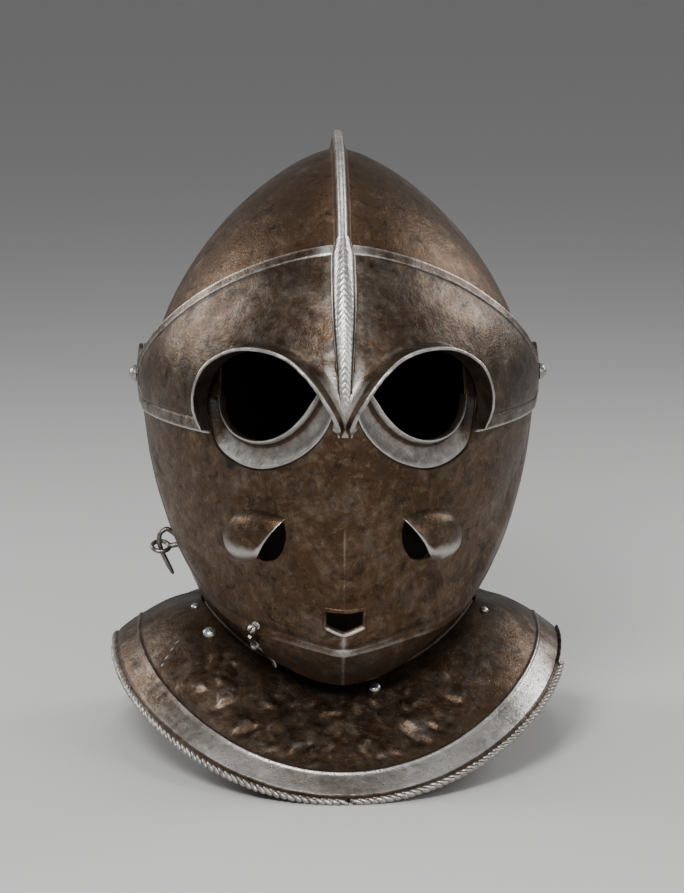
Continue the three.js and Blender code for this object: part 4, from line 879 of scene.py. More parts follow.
# Brow plate
HOOD_SECTION = [  # outwards from the opening, share of the rim's height, and height added
    (6.2, 0.0, -0.45), (5.2, 0.0, 0.10), (4.3, 0.06, 0.2), (3.5, 0.18, 0.15), (2.9, 0.38, 0), (2.5, 0.6, 0),
    (2.3, 0.82, 0), (2.35, 0.93, 0), (2.25, 1.0, -0.1), (1.8, 1.0, 0.4), (1.2, 1.0, 0.5), (0.6, 1.0, 0.25),
    (0.3, 1.0, -0.4), (0.5, 0.88, -0.2), (0.8, 0.7, 0), (0.9, 0.4, 0), (0.9, 0.15, 0), (0.9, 0.0, -1.7),
    (6.0, 0.0, -1.7)]


def hood(line, height, form):
    away = away_from(line)
    worn = 0.35 * lumps(np.c_[line, height], 5.0, 5) + 0.22 * lumps(np.c_[line, height], 1.9, 6)
    number = np.arange(len(line))
    narrow = np.minimum(1, 0.35 + 0.65 * ease(np.minimum(number, number[::-1]), 0, 6))
    by_nose = ease(-line[:, 0], 26, 43)
    sections, bright, dark = [], [], []
    for out, share, more in HOOD_SECTION:
        high = height * share + more + (worn if share == 1.0 else 0)
        sections.append(eye_point(form, line + away * (out * narrow)[:, None], high))
        # The hood's rim is worn bright. Near the nose its outer slope gets a painted highlight and loses its
        # painted shade; its foot and the inner face under the rim get painted shade.
        rubbed = 0.62 + 0.5 * worn if share == 1.0 and more > -0.3 else 0.35 if share > 0.9 else 0.0
        bright.append(rubbed + by_nose * (0.55 if out > 2.6 else 0.0))
        shade = 0.45 if out > 5.5 else 0.55 if out < 1 and share < 0.9 else 0.0
        dark.append(shade * (1 - by_nose * (out > 2)))
    return swept(np.stack(sections, 1), bright=np.stack(bright, 1).ravel(), grime=np.stack(dark, 1).ravel())


BOSS_SECTION = np.array([  # share of the half width, share of the crest's height
    (0, 1), (0.2, 0.97), (0.34, 0.91), (0.55, 0.76), (0.68, 0.6), (0.76, 0.36), (0.84, 0.38), (0.93, 0.25),
    (1, -0.1)])


def boss():
    """Teardrop boss on the brow's middle: roped down its back, with a line engraved each side."""
    across = np.linspace(-1, 1, 31)
    q = np.abs(across)
    rise = np.interp(q, BOSS_SECTION[:, 0], BOSS_SECTION[:, 1])
    rows, marks, dark = [], [], []
    for angle in np.linspace(-3.7, BROW_TOP, 144):
        crest, half = column(RIDGE_ROWS, 1, max(angle, 0)), column(RIDGE_ROWS, 2, max(angle, 0))
        fade = ease(angle, -5.0, 4)
        half = half * (0.55 + 0.45 * fade) * (1 - 0.25 * ease(angle, 37, 41.5))
        skirt = column(BROW_ROWS, 1, angle) - 0.5
        crest = skirt + (crest - skirt) * (0.35 + 0.65 * fade)
        turn = (angle * 2.43 + q * half * 1.25) / 3.3
        rope = 0.42 * np.abs(np.sin(np.pi * turn)) ** 0.7 * (q < 0.7) * fade
        rows.append(polar(skirt + (crest - skirt) * rise + rope - 0.3, angle, across * half))
        marks.append((0.45 + 0.45 * rope / 0.42) * (q < 0.7) + 0.45 * (q > 0.8) * (q < 0.97))
        dark.append(0.75 * (np.abs(q - 0.76) < 0.05) + 0.5 * (q < 0.7) * fade * (1 - (rope / 0.42) ** 0.4))
    return walled(open_grid(np.array(rows), bright=np.array(marks), grime=np.array(dark)), 1.0)


def make_brow_plate():
    def low(shares):
        start, end = np.full(len(shares), -34.0), np.zeros(len(shares))
        for _ in range(30):
            middle = (start + end) / 2
            below = brow_form.point(middle, shares * brow_form.share_at_ear(middle))[:, 2] < BROW_LOW_Z
            start, end = np.where(below, middle, start), np.where(below, end, middle)
        return end

    plate = Plate(brow_form, 0, 271, low, BROW_TOP, (7.6, 12, 62, 7.6, 12))
    x = np.abs(plate.grid[..., 0])
    band = ease(6.3 - plate.from_high, 0, 0.8)
    beside_hood = ease(x, 52, 60)
    strip = ease(7.0 - plate.from_low, 0, 0.7) * beside_hood
    groove = bell(plate.from_high - 6.6, 0.6) + bell(plate.from_low - 7.4, 0.6) * beside_hood
    height = 0.30 * band + 0.3 * strip - 0.4 * groove
    height += 0.16 * lumps(plate.grid, 17.0, 7) + 0.07 * lumps(plate.grid, 7.0, 8)
    grid = plate.grid + plate.normals * height[..., None]
    edge = bell(plate.from_high, 0.8) + bell(plate.from_high - 5.8, 0.7)
    # The middle of the forehead over the nose gets a painted highlight.
    nose = ease(30 - plate.grid[..., 2] + 0.4 * x, 0, 26) * ease(17 - x, 0, 12) + 0.5 * bell(x - 8, 5)
    bright = 0.30 * band + 0.26 * edge + 0.34 * strip + 0.35 * bell(plate.from_low, 0.9) * strip + 0.62 * nose
    sheet = open_grid(grid, bright=bright, grime=0.6 * groove)
    points, faces, _ = sheet
    middle = points[faces].mean(1)
    angle = np.degrees(np.arctan2(middle[:, 2], -middle[:, 1]))
    sheet = without(sheet, (np.abs(middle[:, 0]) < 4.7) & (angle > 10))

    rows = smooth_line(HOOD_ROWS, 110)
    line, height = rows[:, :2], rows[:, 2]
    tip = eye_point(brow_form, line[-1:], np.zeros(1))[0, 2] - 0.6
    points, faces, _ = sheet
    middle = points[faces].mean(1)
    sheet = without(sheet, (np.abs(middle[:, 0]) < 9) & (middle[:, 2] < tip))
    middle = line + away_from(line) * 1.4
    outline = np.vstack([middle, [line[-1, 0], -60], [line[0, 0], -60]])
    sheet = snapped_hole(sheet, outline, in_eye, lambda near: eye_point(brow_form, near))
    one = hood(line, height, brow_form)
    parts = [walled(sheet, PLATE), *ears(SKULL_HALF_WIDTH + BROW_LIFT, PLATE, bright=0.12),
             one, mirrored(one), boss()]
    make_piece("brow_shell", parts, "brow_body", "brow_steel", ["brow_plate"])


# Face plate
SOCKET_SECTION = [  # share of the way to the lid, height of the top, brightness, darkness: the brightness is a painted highlight over the dish and wear along the lid's rim, the darkness painted shade in the outer step, under the lid's rim and on the hidden underside
    (-0.11, -1.5, 0, 0.7), (-0.02, -1.15, 0, 0.9), (0.05, -1.3, 0, 0.95), (0.10, -0.95, 0.75, 0),
    (0.15, -1.15, 0.62, 0), (0.24, -1.9, 0.5, 0), (0.36, -2.8, 0.5, 0), (0.5, -3.6, 0.52, 0),
    (0.64, -4.1, 0.5, 0), (0.76, -4.35, 0.42, 0.15), (0.84, -4.2, 0.15, 0.6), (0.89, -3.2, 0.15, 0.4),
    (0.93, -1.7, 0.6, 0), (0.965, -0.5, 0.9, 0), (1.0, 0.15, 0.95, 0), (1.035, 0.1, 0.8, 0),
    (1.06, -0.7, 0.4, 0.2), (1.065, -2.4, 0, 0.6), (1.06, -5.6, 0, 0.9), (0.86, -6.1, 0, 0.9),
    (0.5, -5.4, 0, 0.9), (0.05, -3.2, 0, 0.9), (-0.11, -2.4, 0, 0.9)]


def socket():
    outer, inner = smooth_line(SOCKET_ROWS, 110), smooth_line(LID_ROWS, 110)
    worn = 0.22 * lumps(np.c_[inner, inner[:, :1]], 6.0, 11)
    sections, bright, dark = [], [], []
    for share, height, light, shade in SOCKET_SECTION:
        places = outer + (inner - outer) * share
        sections.append(eye_point(face_form, places, np.full(len(places), height) + worn * (0.9 < share)))
        # Towards its upper outer end the socket fades into painted shadow under the hood, the lid's rim only
        # partly.
        hidden = ease(np.linspace(0, 1, len(places)), 0.80, 0.97)
        on_lid = 0.9 < share < 1.05
        bright.append(light * (1 - hidden * (0.5 if on_lid else 1)))
        dark.append(shade + (0.9 - shade) * hidden * (0.35 if on_lid else 1))
    return swept(np.stack(sections, 1), bright=np.stack(bright, 1).ravel(), grime=np.stack(dark, 1).ravel())


def face_point(x, z):
    x, z = np.broadcast_arrays(np.asarray(x, float), np.asarray(z, float))
    through = np.stack([x, np.full_like(x, -90.0), z], -1)
    return face_form.meet(through, np.broadcast_to([0, -1.0, 0], through.shape), 0.0, 85)


def form_normal(form, p):
    slope = [form.outside(p + step) - form.outside(p - step) for step in np.eye(3) * 0.5]
    normal = np.stack(slope, -1)
    return normal / np.linalg.norm(normal, axis=-1, keepdims=True)


BREATH_CENTRE = face_point(46, -70)
BREATH_OUT = form_normal(face_form, BREATH_CENTRE)
BREATH_HOLE = [(31.5, -59), (30.5, -67), (32.5, -75.5), (37, -81.5), (44.5, -82), (46, -74), (40, -64),
               (31.5, -59)]


def breath():
    """Scoop raised over a breathing gap, open towards the nose."""
    count = 46
    lip, back = smooth_line(BREATH_LIP, count), smooth_line(BREATH_BACK, count)
    ways = np.array([0, 0.05, 0.12, 0.2, 0.3, 0.4, 0.5, 0.6, 0.7, 0.78, 0.85, 0.91, 0.96, 1.0])
    down = np.linspace(0, 1, count + 1)
    along = np.sin(np.pi * down) ** 0.62
    rows, bright, dark = [], [], []
    for way in ways:
        places = lip + (back - lip) * way
        swell = math.sqrt(max(1 - way ** 3.2, 0)) * (1 - 0.12 * way) * (0.93 + 0.07 * ease(way, 0, 0.12))
        point = face_point(places[:, 0], places[:, 1])
        rows.append(point + BREATH_OUT * (BREATH_HEIGHT * along * swell - 0.35)[:, None])
        # Bright along the lip; the lower half of the scoop gets a painted highlight and its back edge, where it
        # meets the plate, painted shade.
        bright.append(0.8 * bell(way, 0.05) + 0.85 * ease(down, 0.36, 0.72) * (0.75 + 0.25 * (1 - way)))
        dark.append(np.full(count + 1, 0.55 * bell(way - 1, 0.05)))
    return walled(open_grid(np.array(rows), bright=np.array(bright), grime=np.array(dark)), 1.3)


MOUTH_OUT = np.array([0, -math.cos(MOUTH_TILT), math.sin(MOUTH_TILT)])
MOUTH_UP = np.cross(MOUTH_OUT, [1.0, 0, 0])
MOUTH_CENTRE = face_point(0, MOUTH_Z)


def in_mouth(points):
    return np.stack([points[..., 0], (points - MOUTH_CENTRE) @ MOUTH_UP], -1)


def mouth_point(places, height=0.0):
    through = MOUTH_CENTRE + places[..., :1] * [1.0, 0, 0] + places[..., 1:2] * MOUTH_UP
    on_form = face_form.meet(through, np.broadcast_to(MOUTH_OUT, through.shape), 0.0, 40)
    return on_form + MOUTH_OUT * np.asarray(height)[..., None]


MOUTH_SECTION = np.array([  # outwards from the slot, height, brightness
    (-0.3, -2.2, 0.1), (-0.3, 0.05, 0.4), (0.0, 0.4, 0.8), (0.45, 0.55, 0.7), (0.95, 0.45, 0.45),
    (1.4, 0.2, 0.2), (1.75, -0.2, 0.05), (1.8, -1.4, 0)])


def mouth_frame():
    """Raised edge about the mouth slot, brighter below it."""
    out, height, light = MOUTH_SECTION.T
    corners = np.array(MOUTH_OUTLINE)
    outwards = np.sign(corners) * np.c_[np.abs(corners[:, 0]) > 2, np.ones(len(corners))]
    around = corners[:, None] + outwards[:, None] * out[:, None]
    sections, bright = [], []
    for k in range(len(corners)):
        start, end = around[k], around[(k + 1) % len(corners)]
        below = corners[k, 1] < 0 and corners[(k + 1) % len(corners), 1] < 0
        for t in np.linspace(0, 1, 9)[:-1]:
            sections.append(mouth_point(start + (end - start) * t, height))
            bright.append(light * (1 if below else 0.4))
    return swept(sections, capped=False, bright=np.ravel(bright))


def make_face_plate():
    plate = Plate(face_form, 0, 261, lambda s: SEAM - SEAM_SWEEP * s * s, FACE_TOP, (5.0, 8, 116, 0, 0))
    x, z = plate.grid[..., 0], plate.grid[..., 2]
    hammered = 0.20 * lumps(plate.grid, 15.0, 9) + 0.09 * lumps(plate.grid, 6.0, 10)
    dents = -0.30 * ease(lumps(plate.grid, 9.0, 12), 0.45, 0.8)
    groove = bell(plate.from_low - 4.0, 0.5)
    keel = bell(x, 1.3)
    height = (hammered + dents) * (1 - keel) - 0.35 * groove + 0.2 * ease(3.6 - plate.from_low, 0, 0.6)
    grid = plate.grid + plate.normals * height[..., None]
    # The band along the seam is worn bright, with a painted highlight towards the middle that falls off to the
    # sides.
    seam = ease(3.9 - plate.from_low, 0, 0.8)
    mid = ease(62 - np.abs(x), 0, 55)
    bright = (0.10 + 0.26 * mid) * seam + 0.12 * bell(plate.from_low - 0.6, 0.8)
    bright += 0.20 * bell(x, 0.8) * (z < -10) + 0.12 * bell(x, 5) * (z < -60) + 0.28 * bell(x, 4) * (z < -118)
    bright += 0.22 * np.maximum(lumps(plate.grid, 22.0, 13), 0)
    sheet = open_grid(grid, bright=bright, grime=0.7 * groove)

    outer, lid = smooth_line(SOCKET_ROWS, 60), LID_ROWS
    outline = np.vstack([outer, [lid[-1][0], lid[-1][1] - 1], [lid[-1][0], 45], [lid[0][0] - 9, 45],
                         [lid[0][0], lid[0][1] - 1]])
    sheet = snapped_hole(sheet, outline, in_eye, lambda near: eye_point(face_form, near))
    breath_gap = smooth_line(BREATH_HOLE, 40)[:-1]
    sheet = snapped_hole(sheet, breath_gap, lambda p: np.abs(p[..., [0, 2]]) * [1, -1],
                         lambda near: face_point(near[:, 0], near[:, 1]))
    corners = np.array(MOUTH_OUTLINE)
    slot = np.vstack([np.linspace(a, b, 7)[:-1] for a, b in zip(corners, np.roll(corners, -1, axis=0))])
    sheet = snapped_hole(sheet, slot, in_mouth, mouth_point,
                         lambda p: (p[:, 1] < 0) & (np.abs(p[:, 2] - MOUTH_Z) < 20), False, 1.6)
    one, scoop = socket(), breath()
    parts = [walled(sheet, PLATE), *ears(SKULL_HALF_WIDTH + FACE_LIFT, PLATE), one, mirrored(one),
             scoop, mirrored(scoop), mouth_frame()]
    make_piece("face_shell", parts, "visor_body", "mask_steel", ["face_plate"])


# Bevor
def make_bevor():
    plate = Plate(face_form, BEVOR_SINK, 181, BEVOR_REAR, lambda s: BEVOR_TOP - BEVOR_SWEEP * s * s,
                  (0, 0, 84, 0, 0))
    x = plate.grid[..., 0]
    keel = bell(x, 1.4)
    height = (0.18 * lumps(plate.grid, 15.0, 14) + 0.08 * lumps(plate.grid, 6.0, 15)) * (1 - keel)
    grid = plate.grid + plate.normals * height[..., None]
    bright = 0.34 * keel + 0.12 * bell(x, 9) + 0.2 * np.maximum(lumps(plate.grid, 20.0, 16), 0)
    # Darker towards the bottom: painted shade under the jaw.
    grime = 0.55 * ease(-plate.grid[..., 2], 128, 142)
    sheet = bottom_open(open_grid(grid, bright=bright, grime=grime))
    parts = [walled(sheet, PLATE), *ears(SKULL_HALF_WIDTH + FACE_LIFT - (RUNNING_GAP + PLATE), PLATE)]
    parts.append(flange(np.linspace(-80, 80, 70), 2.5, 5.5, FLANGE_SINK))
    make_piece("bevor_shell", parts, "bevor_body", "jaw_steel", ["bevor"])


# Gorget plates
def rim_look(distance):
    """Height and marks across the gorget, by distance from the rim."""
    groove = bell(distance - 3.3, 0.75)
    ridge = bell(distance - 19.0, 0.85)
    band = ease(distance, 3.4, 4.4) * ease(18.6 - distance, 0, 0.9)
    height = 0.62 * ridge - 0.4 * groove - 0.25 * ease(distance, 19.6, 20.6)
    return height, 0.56 * band + 0.8 * ridge, 0.6 * groove + 0.45 * bell(distance - 20.9, 0.7)


def rim_bead(grid, sink, keep):
    """Rolled bead under the roping, cut flat where it stands, with its middle and its way up."""
    normal = normals_of(*open_grid(grid, UNDER_GORGET)[:2]).reshape(grid.shape)[0]
    rim = grid[0]
    outward = rim - grid[3]
    outward /= np.linalg.norm(outward, axis=1, keepdims=True)
    centre = rim - normal * (sink + PLATE / 2)
    turn = np.radians(np.arange(12) * 30)
    sections = [c + BEAD_RADIUS * (np.outer(np.cos(turn), o) + np.outer(np.sin(turn), n))
                for c, o, n in zip(centre[keep], outward[keep], normal[keep])]
    points, faces, marks = swept(sections, bright=0.35, grime=0.35)
    points[:, 2] = np.maximum(points[:, 2], -PIVOT[2])
    return (points, faces, marks), centre, normal


def make_gorget_front():
    azimuth = np.concatenate([np.full(9, -90.0), np.linspace(-90, 90, 301), np.full(9, 90.0)])
    ahead = np.linspace(16, 1.8, 9)
    shift = np.concatenate([ahead, np.zeros(301), ahead[::-1]])
    grid, distance, share = gorget_grid(azimuth, shift, 54)
    az = np.broadcast_to(azimuth[None, :], distance.shape)
    height, bright, grime = rim_look(distance)
    folded = ease(distance, 21, 30) * ease(share, 0.16, 0.3) * ease(58 - np.abs(az + 6), 0, 18)
    wide = np.stack([az * 0.17, distance * 0.07, az * 0 + 4.0], -1)
    across = distance * 0.64 + np.abs(az) * 1.69
    along = np.abs(az) * 1.4 - distance * 0.77
    creases = lumps(np.stack([across * 0.50, along * 0.13, az * 0 + 1.0], -1), 1.9, 17)
    struck = folded * ease(lumps(wide * 1.9, 1.0, 27), -0.25, 0.35)
    height += folded * 1.25 * lumps(wide, 1.0, 18) + struck * 1.7 * creases
    height += 0.16 * lumps(grid, 12.0, 19)
    crack = bell(grid[..., 0] - NOTCH_X, 0.8) * ease(13 - distance, 0, 5)
    scratch = bell(az + 63 + (distance - 30) * 0.12, 0.28) * ease(distance, 22, 25) * ease(46 - distance, 0, 4)
    # The worn band along the rim is dimmed towards both sides as painted shade where the light falls off.
    bright *= (0.42 + 0.78 * ease(az, -78, -14)) * (0.5 + 0.5 * ease(88 - az, 0, 34)) \
        * (0.9 + 0.25 * lumps(grid, 16.0, 28))
    # The struck creases get painted highlights on their crests and painted shade in their troughs.
    bright += struck * 0.36 * ease(creases, 0.12, 0.5) + 0.7 * scratch
    # Near the collar the lame gets painted shade under the chin.
    grime += struck * 0.30 * ease(-creases, 0.15, 0.55) + 0.9 * crack + 0.55 * ease(0.13 - share, 0, 0.11)
    height -= 0.5 * crack
    sheet_grid = lifted(grid, height)
    torn = (az > TORN_FROM) & (distance < 3.2)
    notch = (np.abs(grid[..., 0] - NOTCH_X) < 1.7) & (distance < 3.0) & (np.abs(az) < 40)
    for hole, depth in ((torn, 3.3), (notch, 2.2)):
        rows, cols = np.nonzero(hole)
        inner_row = np.argmax(distance[:, cols] >= depth, axis=0)
        drawn_in = np.clip(1 - distance[rows, cols] / 3.3, 0, 1)
        ragged = 0.9 + 0.18 * np.sin(cols * 1.9) * np.sin(cols * 0.7)
        towards = sheet_grid[inner_row, cols] - sheet_grid[rows, cols]
        sheet_grid[rows, cols] += towards * (drawn_in * ragged)[:, None]
    plate = walled(open_grid(sheet_grid, UNDER_GORGET, bright=bright, grime=grime), PLATE)
    plate[0][:, 2] = np.maximum(plate[0][:, 2], -PIVOT[2])
    whole = (azimuth < TORN_FROM) & (np.abs(grid[0, :, 0] - NOTCH_X) > 1.2)
    bead_left, centre, normal = rim_bead(grid, 0, np.nonzero(whole & (grid[0, :, 0] < NOTCH_X))[0])
    bead_right = rim_bead(grid, 0, np.nonzero(whole & (grid[0, :, 0] > NOTCH_X))[0])[0]
    make_piece("gorget_front_lame", [plate, bead_left, bead_right], "bevor_body", "gorget_steel",
               ["gorget_front"])

    def left_whole(place):
        in_notch = (np.abs(place[:, 0] - NOTCH_X) < 1.9) & (place[:, 1] < 0)
        in_tear = (place[:, 0] > 118) & (place[:, 1] > -34)
        return ~(in_notch | in_tear)

    roping("gorget_front_roping", centre, normal, "bevor_body", 4, left_whole)


def make_gorget_rear():
    azimuth = np.concatenate([np.full(9, 90.01), np.linspace(90.01, 269.99, 161), np.full(9, 269.99)])
    behind = FRONT_LAME_END - SHOULDER + 1.5
    ends = np.array([-12, -8, -5, -2, 0, 2, 3.6, 4.8, behind])
    along = behind * bell(np.minimum(azimuth - 90, 270 - azimuth), 6.0)
    shift = np.concatenate([ends, along[9:-9], ends[::-1]])
    grid, distance, share = gorget_grid(azimuth, shift, 22)
    height, bright, grime = rim_look(distance)
    plain = np.broadcast_to((grid[0, :, 1] < FRONT_LAME_END + 1.5)[None, :], distance.shape)
    height = np.where(plain, 0, height) + 0.16 * lumps(grid, 14.0, 20) * ~plain
    sheet_grid = lifted(grid, height - REAR_SINK)
    short = plain & (distance < 3)
    keep = short.sum(0)
    for k in np.nonzero(keep)[0]:
        sheet_grid[:keep[k], k] = sheet_grid[keep[k], k]
    # Near the collar the lame gets painted shade under the skull's rear edge.
    collar_shade = 0.4 * ease(0.13 - share, 0, 0.11)
    plate = walled(open_grid(sheet_grid, UNDER_GORGET, bright=np.where(plain, 0, bright),
                             grime=grime + collar_shade), PLATE)
    plate[0][:, 2] = np.maximum(plate[0][:, 2], -PIVOT[2])
    whole = np.nonzero(grid[0, :, 1] > FRONT_LAME_END + 1.6)[0]
    bead, centre, normal = rim_bead(grid, REAR_SINK, whole)
    make_piece("gorget_rear_lame", [plate, bead], "skull_body", "gorget_steel", ["gorget_rear"])
    roping("gorget_rear_roping", centre[whole], normal[whole], "skull_body", 9)


# Rivets and pivot bolts
FRONT_RIVETS = [  # node, azimuth, share of the way out, radius of the head
    ("gorget_rivet_left_rear", -76, 0.11, 2.5), ("gorget_rivet_left", -57, 0.17, 4.0),
    ("gorget_rivet_centre", 12, 0.15, 3.4), ("gorget_rivet_right", 72, 0.15, 2.5)]
REAR_RIVETS = [("nape_rivet_left", 225, 0.14, 2.5), ("nape_rivet_centre", 180, 0.14, 2.5),
               ("nape_rivet_right", 135, 0.14, 2.5)]


def rivet_seat(azimuth, share, sink):
    """Place of a head on the gorget, and which way it faces."""
    def at(around, out):
        return gorget_point(np.array([azimuth + around]), np.array([share + out]))[0]

    normal = np.cross(at(1, 0) - at(-1, 0), at(0, 0.02) - at(0, -0.02))
    normal /= np.linalg.norm(normal) * np.sign(normal[2])
    return at(0, 0) - normal * sink, normal


def make_rivets(name, rivets, sink, body):
    seats = [rivet_seat(azimuth, share, sink) for _, azimuth, share, _ in rivets]
    places = places_mesh(name, [seat + normal * 0.2 for seat, normal in seats],
                         [Vector(normal).to_track_quat("Z", "Y").to_euler() for _, normal in seats],
                         [head for *_, head in rivets])
    grown(name, places, HEADS, {"Radius": 0.001, "Seed": 3}, body, "rivet_steel",
          [row[0] for row in rivets], bright=0.7)


def make_bolts():
    out = SKULL_HALF_WIDTH + BROW_LIFT + 0.3
    length = out - (SKULL_HALF_WIDTH - SKULL_PLATE - 2.1)
    profile = [(0, 4.15), (1.6, 4.0), (2.9, 3.45), (3.9, 2.5), (4.5, 1.3), (4.75, 0.3), (4.6, 0), (2.2, 0),
               (2.2, -length), (4.6, -length), (4.6, -length - 1.1), (2.4, -length - 2), (0, -length - 2.2)]
    for name, side in (("pivot_bolt_left", -1), ("pivot_bolt_right", 1)):
        part = turned(profile, (side * out, 0, 0), (side, 0, 0), 30, bright=0.55)
        make_piece(name + "_turned", [part], "skull_body", "bolt_steel", [name], crease=40)


# Hooks and studs
HOOK_SEAT, HOOK_OUT = np.array([-44.714, -80.107, -132.790]), np.array([-0.5793, -0.4098, -0.7046])
STUD_SEAT, STUD_OUT = np.array([-45.913, -91.204, -121.433]), np.array([-0.5476, -0.8004, -0.2441])
SIDE_SEAT, SIDE_OUT = np.array([-87.375, -18.038, -93.026]), np.array([-0.98785, -0.15538, 0.0])
STRAP_SECTION = [  # share of the half width, share of the thickness
    (-1, 0.3), (-0.75, 0), (0.75, 0), (1, 0.3), (1, 0.7), (0.7, 1), (-0.7, 1), (-1, 0.7)]


def strap(rows, seat, side, along, out, steps=30, **marks):
    """Forged strip through rows of place, half width, height of its underside and thickness."""
    rows = smooth_rows(rows, steps)
    way = np.gradient(rows[:, :2], axis=0)
    way /= np.linalg.norm(way, axis=1, keepdims=True)
    sections = []
    for (u, v, half, low, thick), (du, dv) in zip(rows, way):
        sections.append([seat + side * (u - dv * half * a) + along * (v + du * half * a)
                         + out * (low + thick * b) for a, b in STRAP_SECTION])
    return swept(sections, **marks)


def smooth_rows(rows, steps):
    rows = np.array(rows, float)
    t = np.linspace(0, len(rows) - 1, steps)
    table = np.c_[np.arange(len(rows)), rows]
    return np.stack([column(table, k + 1, t) for k in range(rows.shape[1])], -1)


def make_chin_hook():
    out = HOOK_OUT / np.linalg.norm(HOOK_OUT)
    along = STUD_SEAT - HOOK_SEAT
    reach = np.linalg.norm(along) - 1.8
    along = along - out * (along @ out)
    along /= np.linalg.norm(along)
    side = np.cross(along, out)
    arm = [(0, 0, 1.9, 2.9, 1.6), (-0.6, 0.4 * reach, 1.7, 3, 1.6), (-0.4, 0.8 * reach, 1.4, 3.6, 1.5),
           (0, reach, 1, 3.8, 1.3)]
    handle = [(0, 0, 1.9, 2.4, 1.8), (5, -4.5, 1.7, 1.8, 1.7), (9.5, -9, 1.6, 2.2, 1.7),
              (12, -11.5, 1.5, 4, 1.6)]
    hub = [(1.35, 0.45), (2.6, 0.45), (2.8, 0.8), (2.8, 4.2), (2.5, 4.6), (1.35, 4.6)]
    parts = [strap(arm, HOOK_SEAT, side, along, out, bright=0.38),
             strap(handle, HOOK_SEAT, side, along, out, bright=0.45), ring_of(hub, HOOK_SEAT, out, bright=0.5)]
    make_piece("chin_hook_forged", parts, "chin_hook_body", "hook_steel", ["chin_hook"])
    pin = [(0, 6.1), (0.9, 5.95), (1.6, 5.5), (2.0, 4.95), (1.0, 4.9), (1.0, -2.6), (2.0, -2.6),
           (1.2, -3.4), (0, -3.6)]
    make_piece("chin_hook_rivet_turned", [turned(pin, HOOK_SEAT, out, 20, bright=0.75)], "bevor_body",
               "rivet_steel", ["chin_hook_rivet"])


def ring_of(profile, seat, out, sides=24, **marks):
    """Ring turned from a closed profile that leaves its middle open."""
    aside = np.cross(out, [0, 0, 1.0])
    aside /= np.linalg.norm(aside)
    across = np.cross(out, aside)
    sections = []
    for turn in np.radians(np.arange(sides) * 360 / sides):
        spoke = aside * math.cos(turn) + across * math.sin(turn)
        sections.append([seat + out * height + spoke * radius for radius, height in profile])
    return swept(sections, capped=False, **marks)


def make_chin_stud():
    out = STUD_OUT / np.linalg.norm(STUD_OUT)
    around = [(2.6 * math.cos(t), 4.6 + 2.6 * math.sin(t)) for t in map(math.radians, range(80, -61, -20))]
    profile = [(0, 7.2), *around, (1.3, 2.1), (1.4, 1.3), (2.4, 1.0), (2.5, 0.6), (1.3, 0.55), (1.3, -1.6),
               (0, -1.6)]
    points, faces, marks = turned(profile, STUD_SEAT, out, 36, bright=0.7)
    from_seat = points - STUD_SEAT
    high = from_seat @ out
    slot = np.cross(out, [0.62, 0, 0.78])
    slot /= np.linalg.norm(slot)
    cut = bell(from_seat @ slot, 0.45) * (high > 5.2)
    points = points - out * (1.3 * cut)[:, None]
    marks["grime"] = marks["grime"] + 0.9 * cut
    make_piece("chin_stud_turned", [(points, faces, marks)], "visor_body", "bolt_steel", ["chin_stud"])


def make_side_catch():
    """Side hook and pierced stud, fastened in each other."""
    out = SIDE_OUT
    up = np.array([0, 0, 1.0])
    side = np.cross(up, out)
    side /= np.linalg.norm(side)

    def at(away, high):
        return SIDE_SEAT + out * away + up * high

    tilt = math.radians(23)
    facing = up * math.cos(tilt) + side * math.sin(tilt)
    middle = at(11.5, -1)
    first = np.cross(facing, out)
    first /= np.linalg.norm(first)
    second = np.cross(facing, first)
    sections = []
    for turn in np.radians(np.arange(0, 360, 10)):
        spoke = first * math.cos(turn) + second * math.sin(turn)
        sections.append([middle + spoke * (4.8 + 1.25 * math.cos(a)) + facing * 1.25 * math.sin(a)
                         for a in np.radians(np.arange(0, 360, 30))])
    eye = swept(sections, capped=False, bright=0.42)
    stalk = tube([at(away, -away / 6.7) for away in np.linspace(-1.5, 6.7, 6)], 1.5, 16, bright=0.5)
    collar = turned([(0, 2.4), (1.7, 2.3), (2.15, 2.0), (2.15, 1.2), (1.8, 0.9), (0, 0.9)], SIDE_SEAT, out, 24,
                    bright=0.95)
    make_piece("side_stud_forged", [eye, stalk, collar], "bevor_body", "hook_steel", ["side_stud"])

    rows = [(-1.5, 4.6), (2.4, 4.6), (4, 6), (8, 8.6), (11.6, 6.4), (12.4, 2), (11.2, -3), (8.6, -9),
            (4.6, -17)]
    path = np.array([at(away, high) for away, high in smooth_line(rows, 60)])
    t = np.linspace(0, 1, len(path))
    radius = 1.35 * np.minimum(1, 0.72 + 4 * (1 - t)) * (1 - ease(t, 0.985, 1.0) * 0.5)
    hook = tube(path, radius, 14, up=side, bright=0.36)
    make_piece("side_hook_forged", [hook], "bevor_body", "hook_steel", ["side_hook"])


HEADS, LOBES = head_tree(), lobe_tree()
make_skull()
make_bevor()
make_face_plate()
make_brow_plate()
make_gorget_front()
make_gorget_rear()
make_rivets("gorget_rivet_heads", FRONT_RIVETS, 0.0, "bevor_body")
make_rivets("nape_rivet_heads", REAR_RIVETS, REAR_SINK, "skull_body")
make_bolts()
make_chin_hook()
make_chin_stud()
make_side_catch()


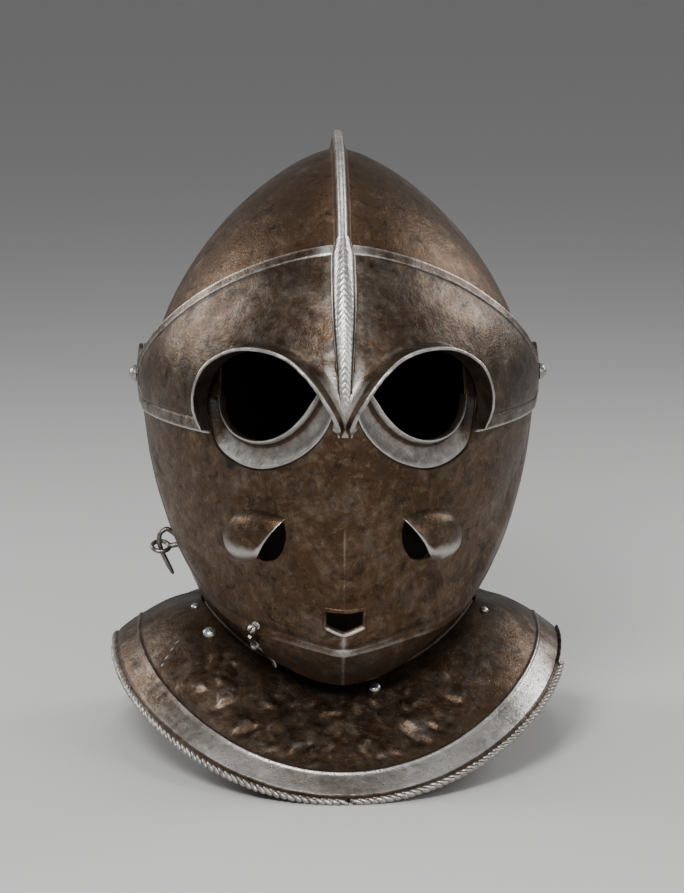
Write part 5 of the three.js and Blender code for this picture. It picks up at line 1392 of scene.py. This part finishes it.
# Floor, light and camera
def stage():
    floor_mesh = bpy.data.meshes.new("floor")
    floor_mesh.from_pydata([(-30, -30, 0), (30, -30, 0), (30, 30, 0), (-30, 30, 0)], [], [(0, 1, 2, 3)])
    pale = Finish("floor_paper")
    shader = pale.node("ShaderNodeBsdfPrincipled", None, {"Base Color": (0.52, 0.51, 0.50, 1), "Roughness": 0.9})
    pale.node("ShaderNodeOutputMaterial", None, {"Surface": shader.outputs[0]})
    floor_mesh.materials.append(pale.material)
    floor = bpy.data.objects.new("floor", floor_mesh)
    bpy.context.scene.collection.objects.link(floor)

    world = bpy.data.worlds.new("studio")
    world.use_nodes = True
    world.node_tree.nodes["Background"].inputs[0].default_value = (0.60, 0.61, 0.63, 1)
    world.node_tree.nodes["Background"].inputs[1].default_value = 0.42
    bpy.context.scene.world = world
    for name, place, size, power in (
            ("key", (-0.32, -1.15, 1.05), 0.42, 20), ("fill", (0.75, -1.0, 0.55), 0.6, 4.5),
            ("rim_left", (-0.95, 0.35, 0.6), 0.4, 6), ("rim_right", (0.95, 0.45, 0.7), 0.4, 6),
            ("top", (0.0, 0.1, 1.5), 0.5, 5)):
        light = bpy.data.lights.new(name, "AREA")
        light.energy, light.size = power, size
        lamp = bpy.data.objects.new(name, light)
        lamp.location = place
        lamp.rotation_euler = (Vector((0, 0, 0.17)) - Vector(place)).to_track_quat("-Z", "Y").to_euler()
        bpy.context.scene.collection.objects.link(lamp)


def aim_camera():
    focus_px, frame_height_px, away = 3600, 893, 2.0
    rise, yaw = math.radians(10), math.radians(-1.5)
    back = Vector((math.sin(yaw) * math.cos(rise), -math.cos(yaw) * math.cos(rise), math.sin(rise)))
    lens = bpy.data.cameras.new("camera")
    lens.lens = lens.sensor_width * focus_px / frame_height_px
    lens.shift_x, lens.shift_y = 4 / frame_height_px, -74.5 / frame_height_px
    lens.clip_start = 0.05
    camera = bpy.data.objects.new("camera", lens)
    camera.location = Vector(PIVOT / 1000) + back * away
    camera.rotation_euler = back.to_track_quat("Z", "Y").to_euler()
    bpy.context.scene.collection.objects.link(camera)
    bpy.context.scene.camera = camera


stage()
aim_camera()
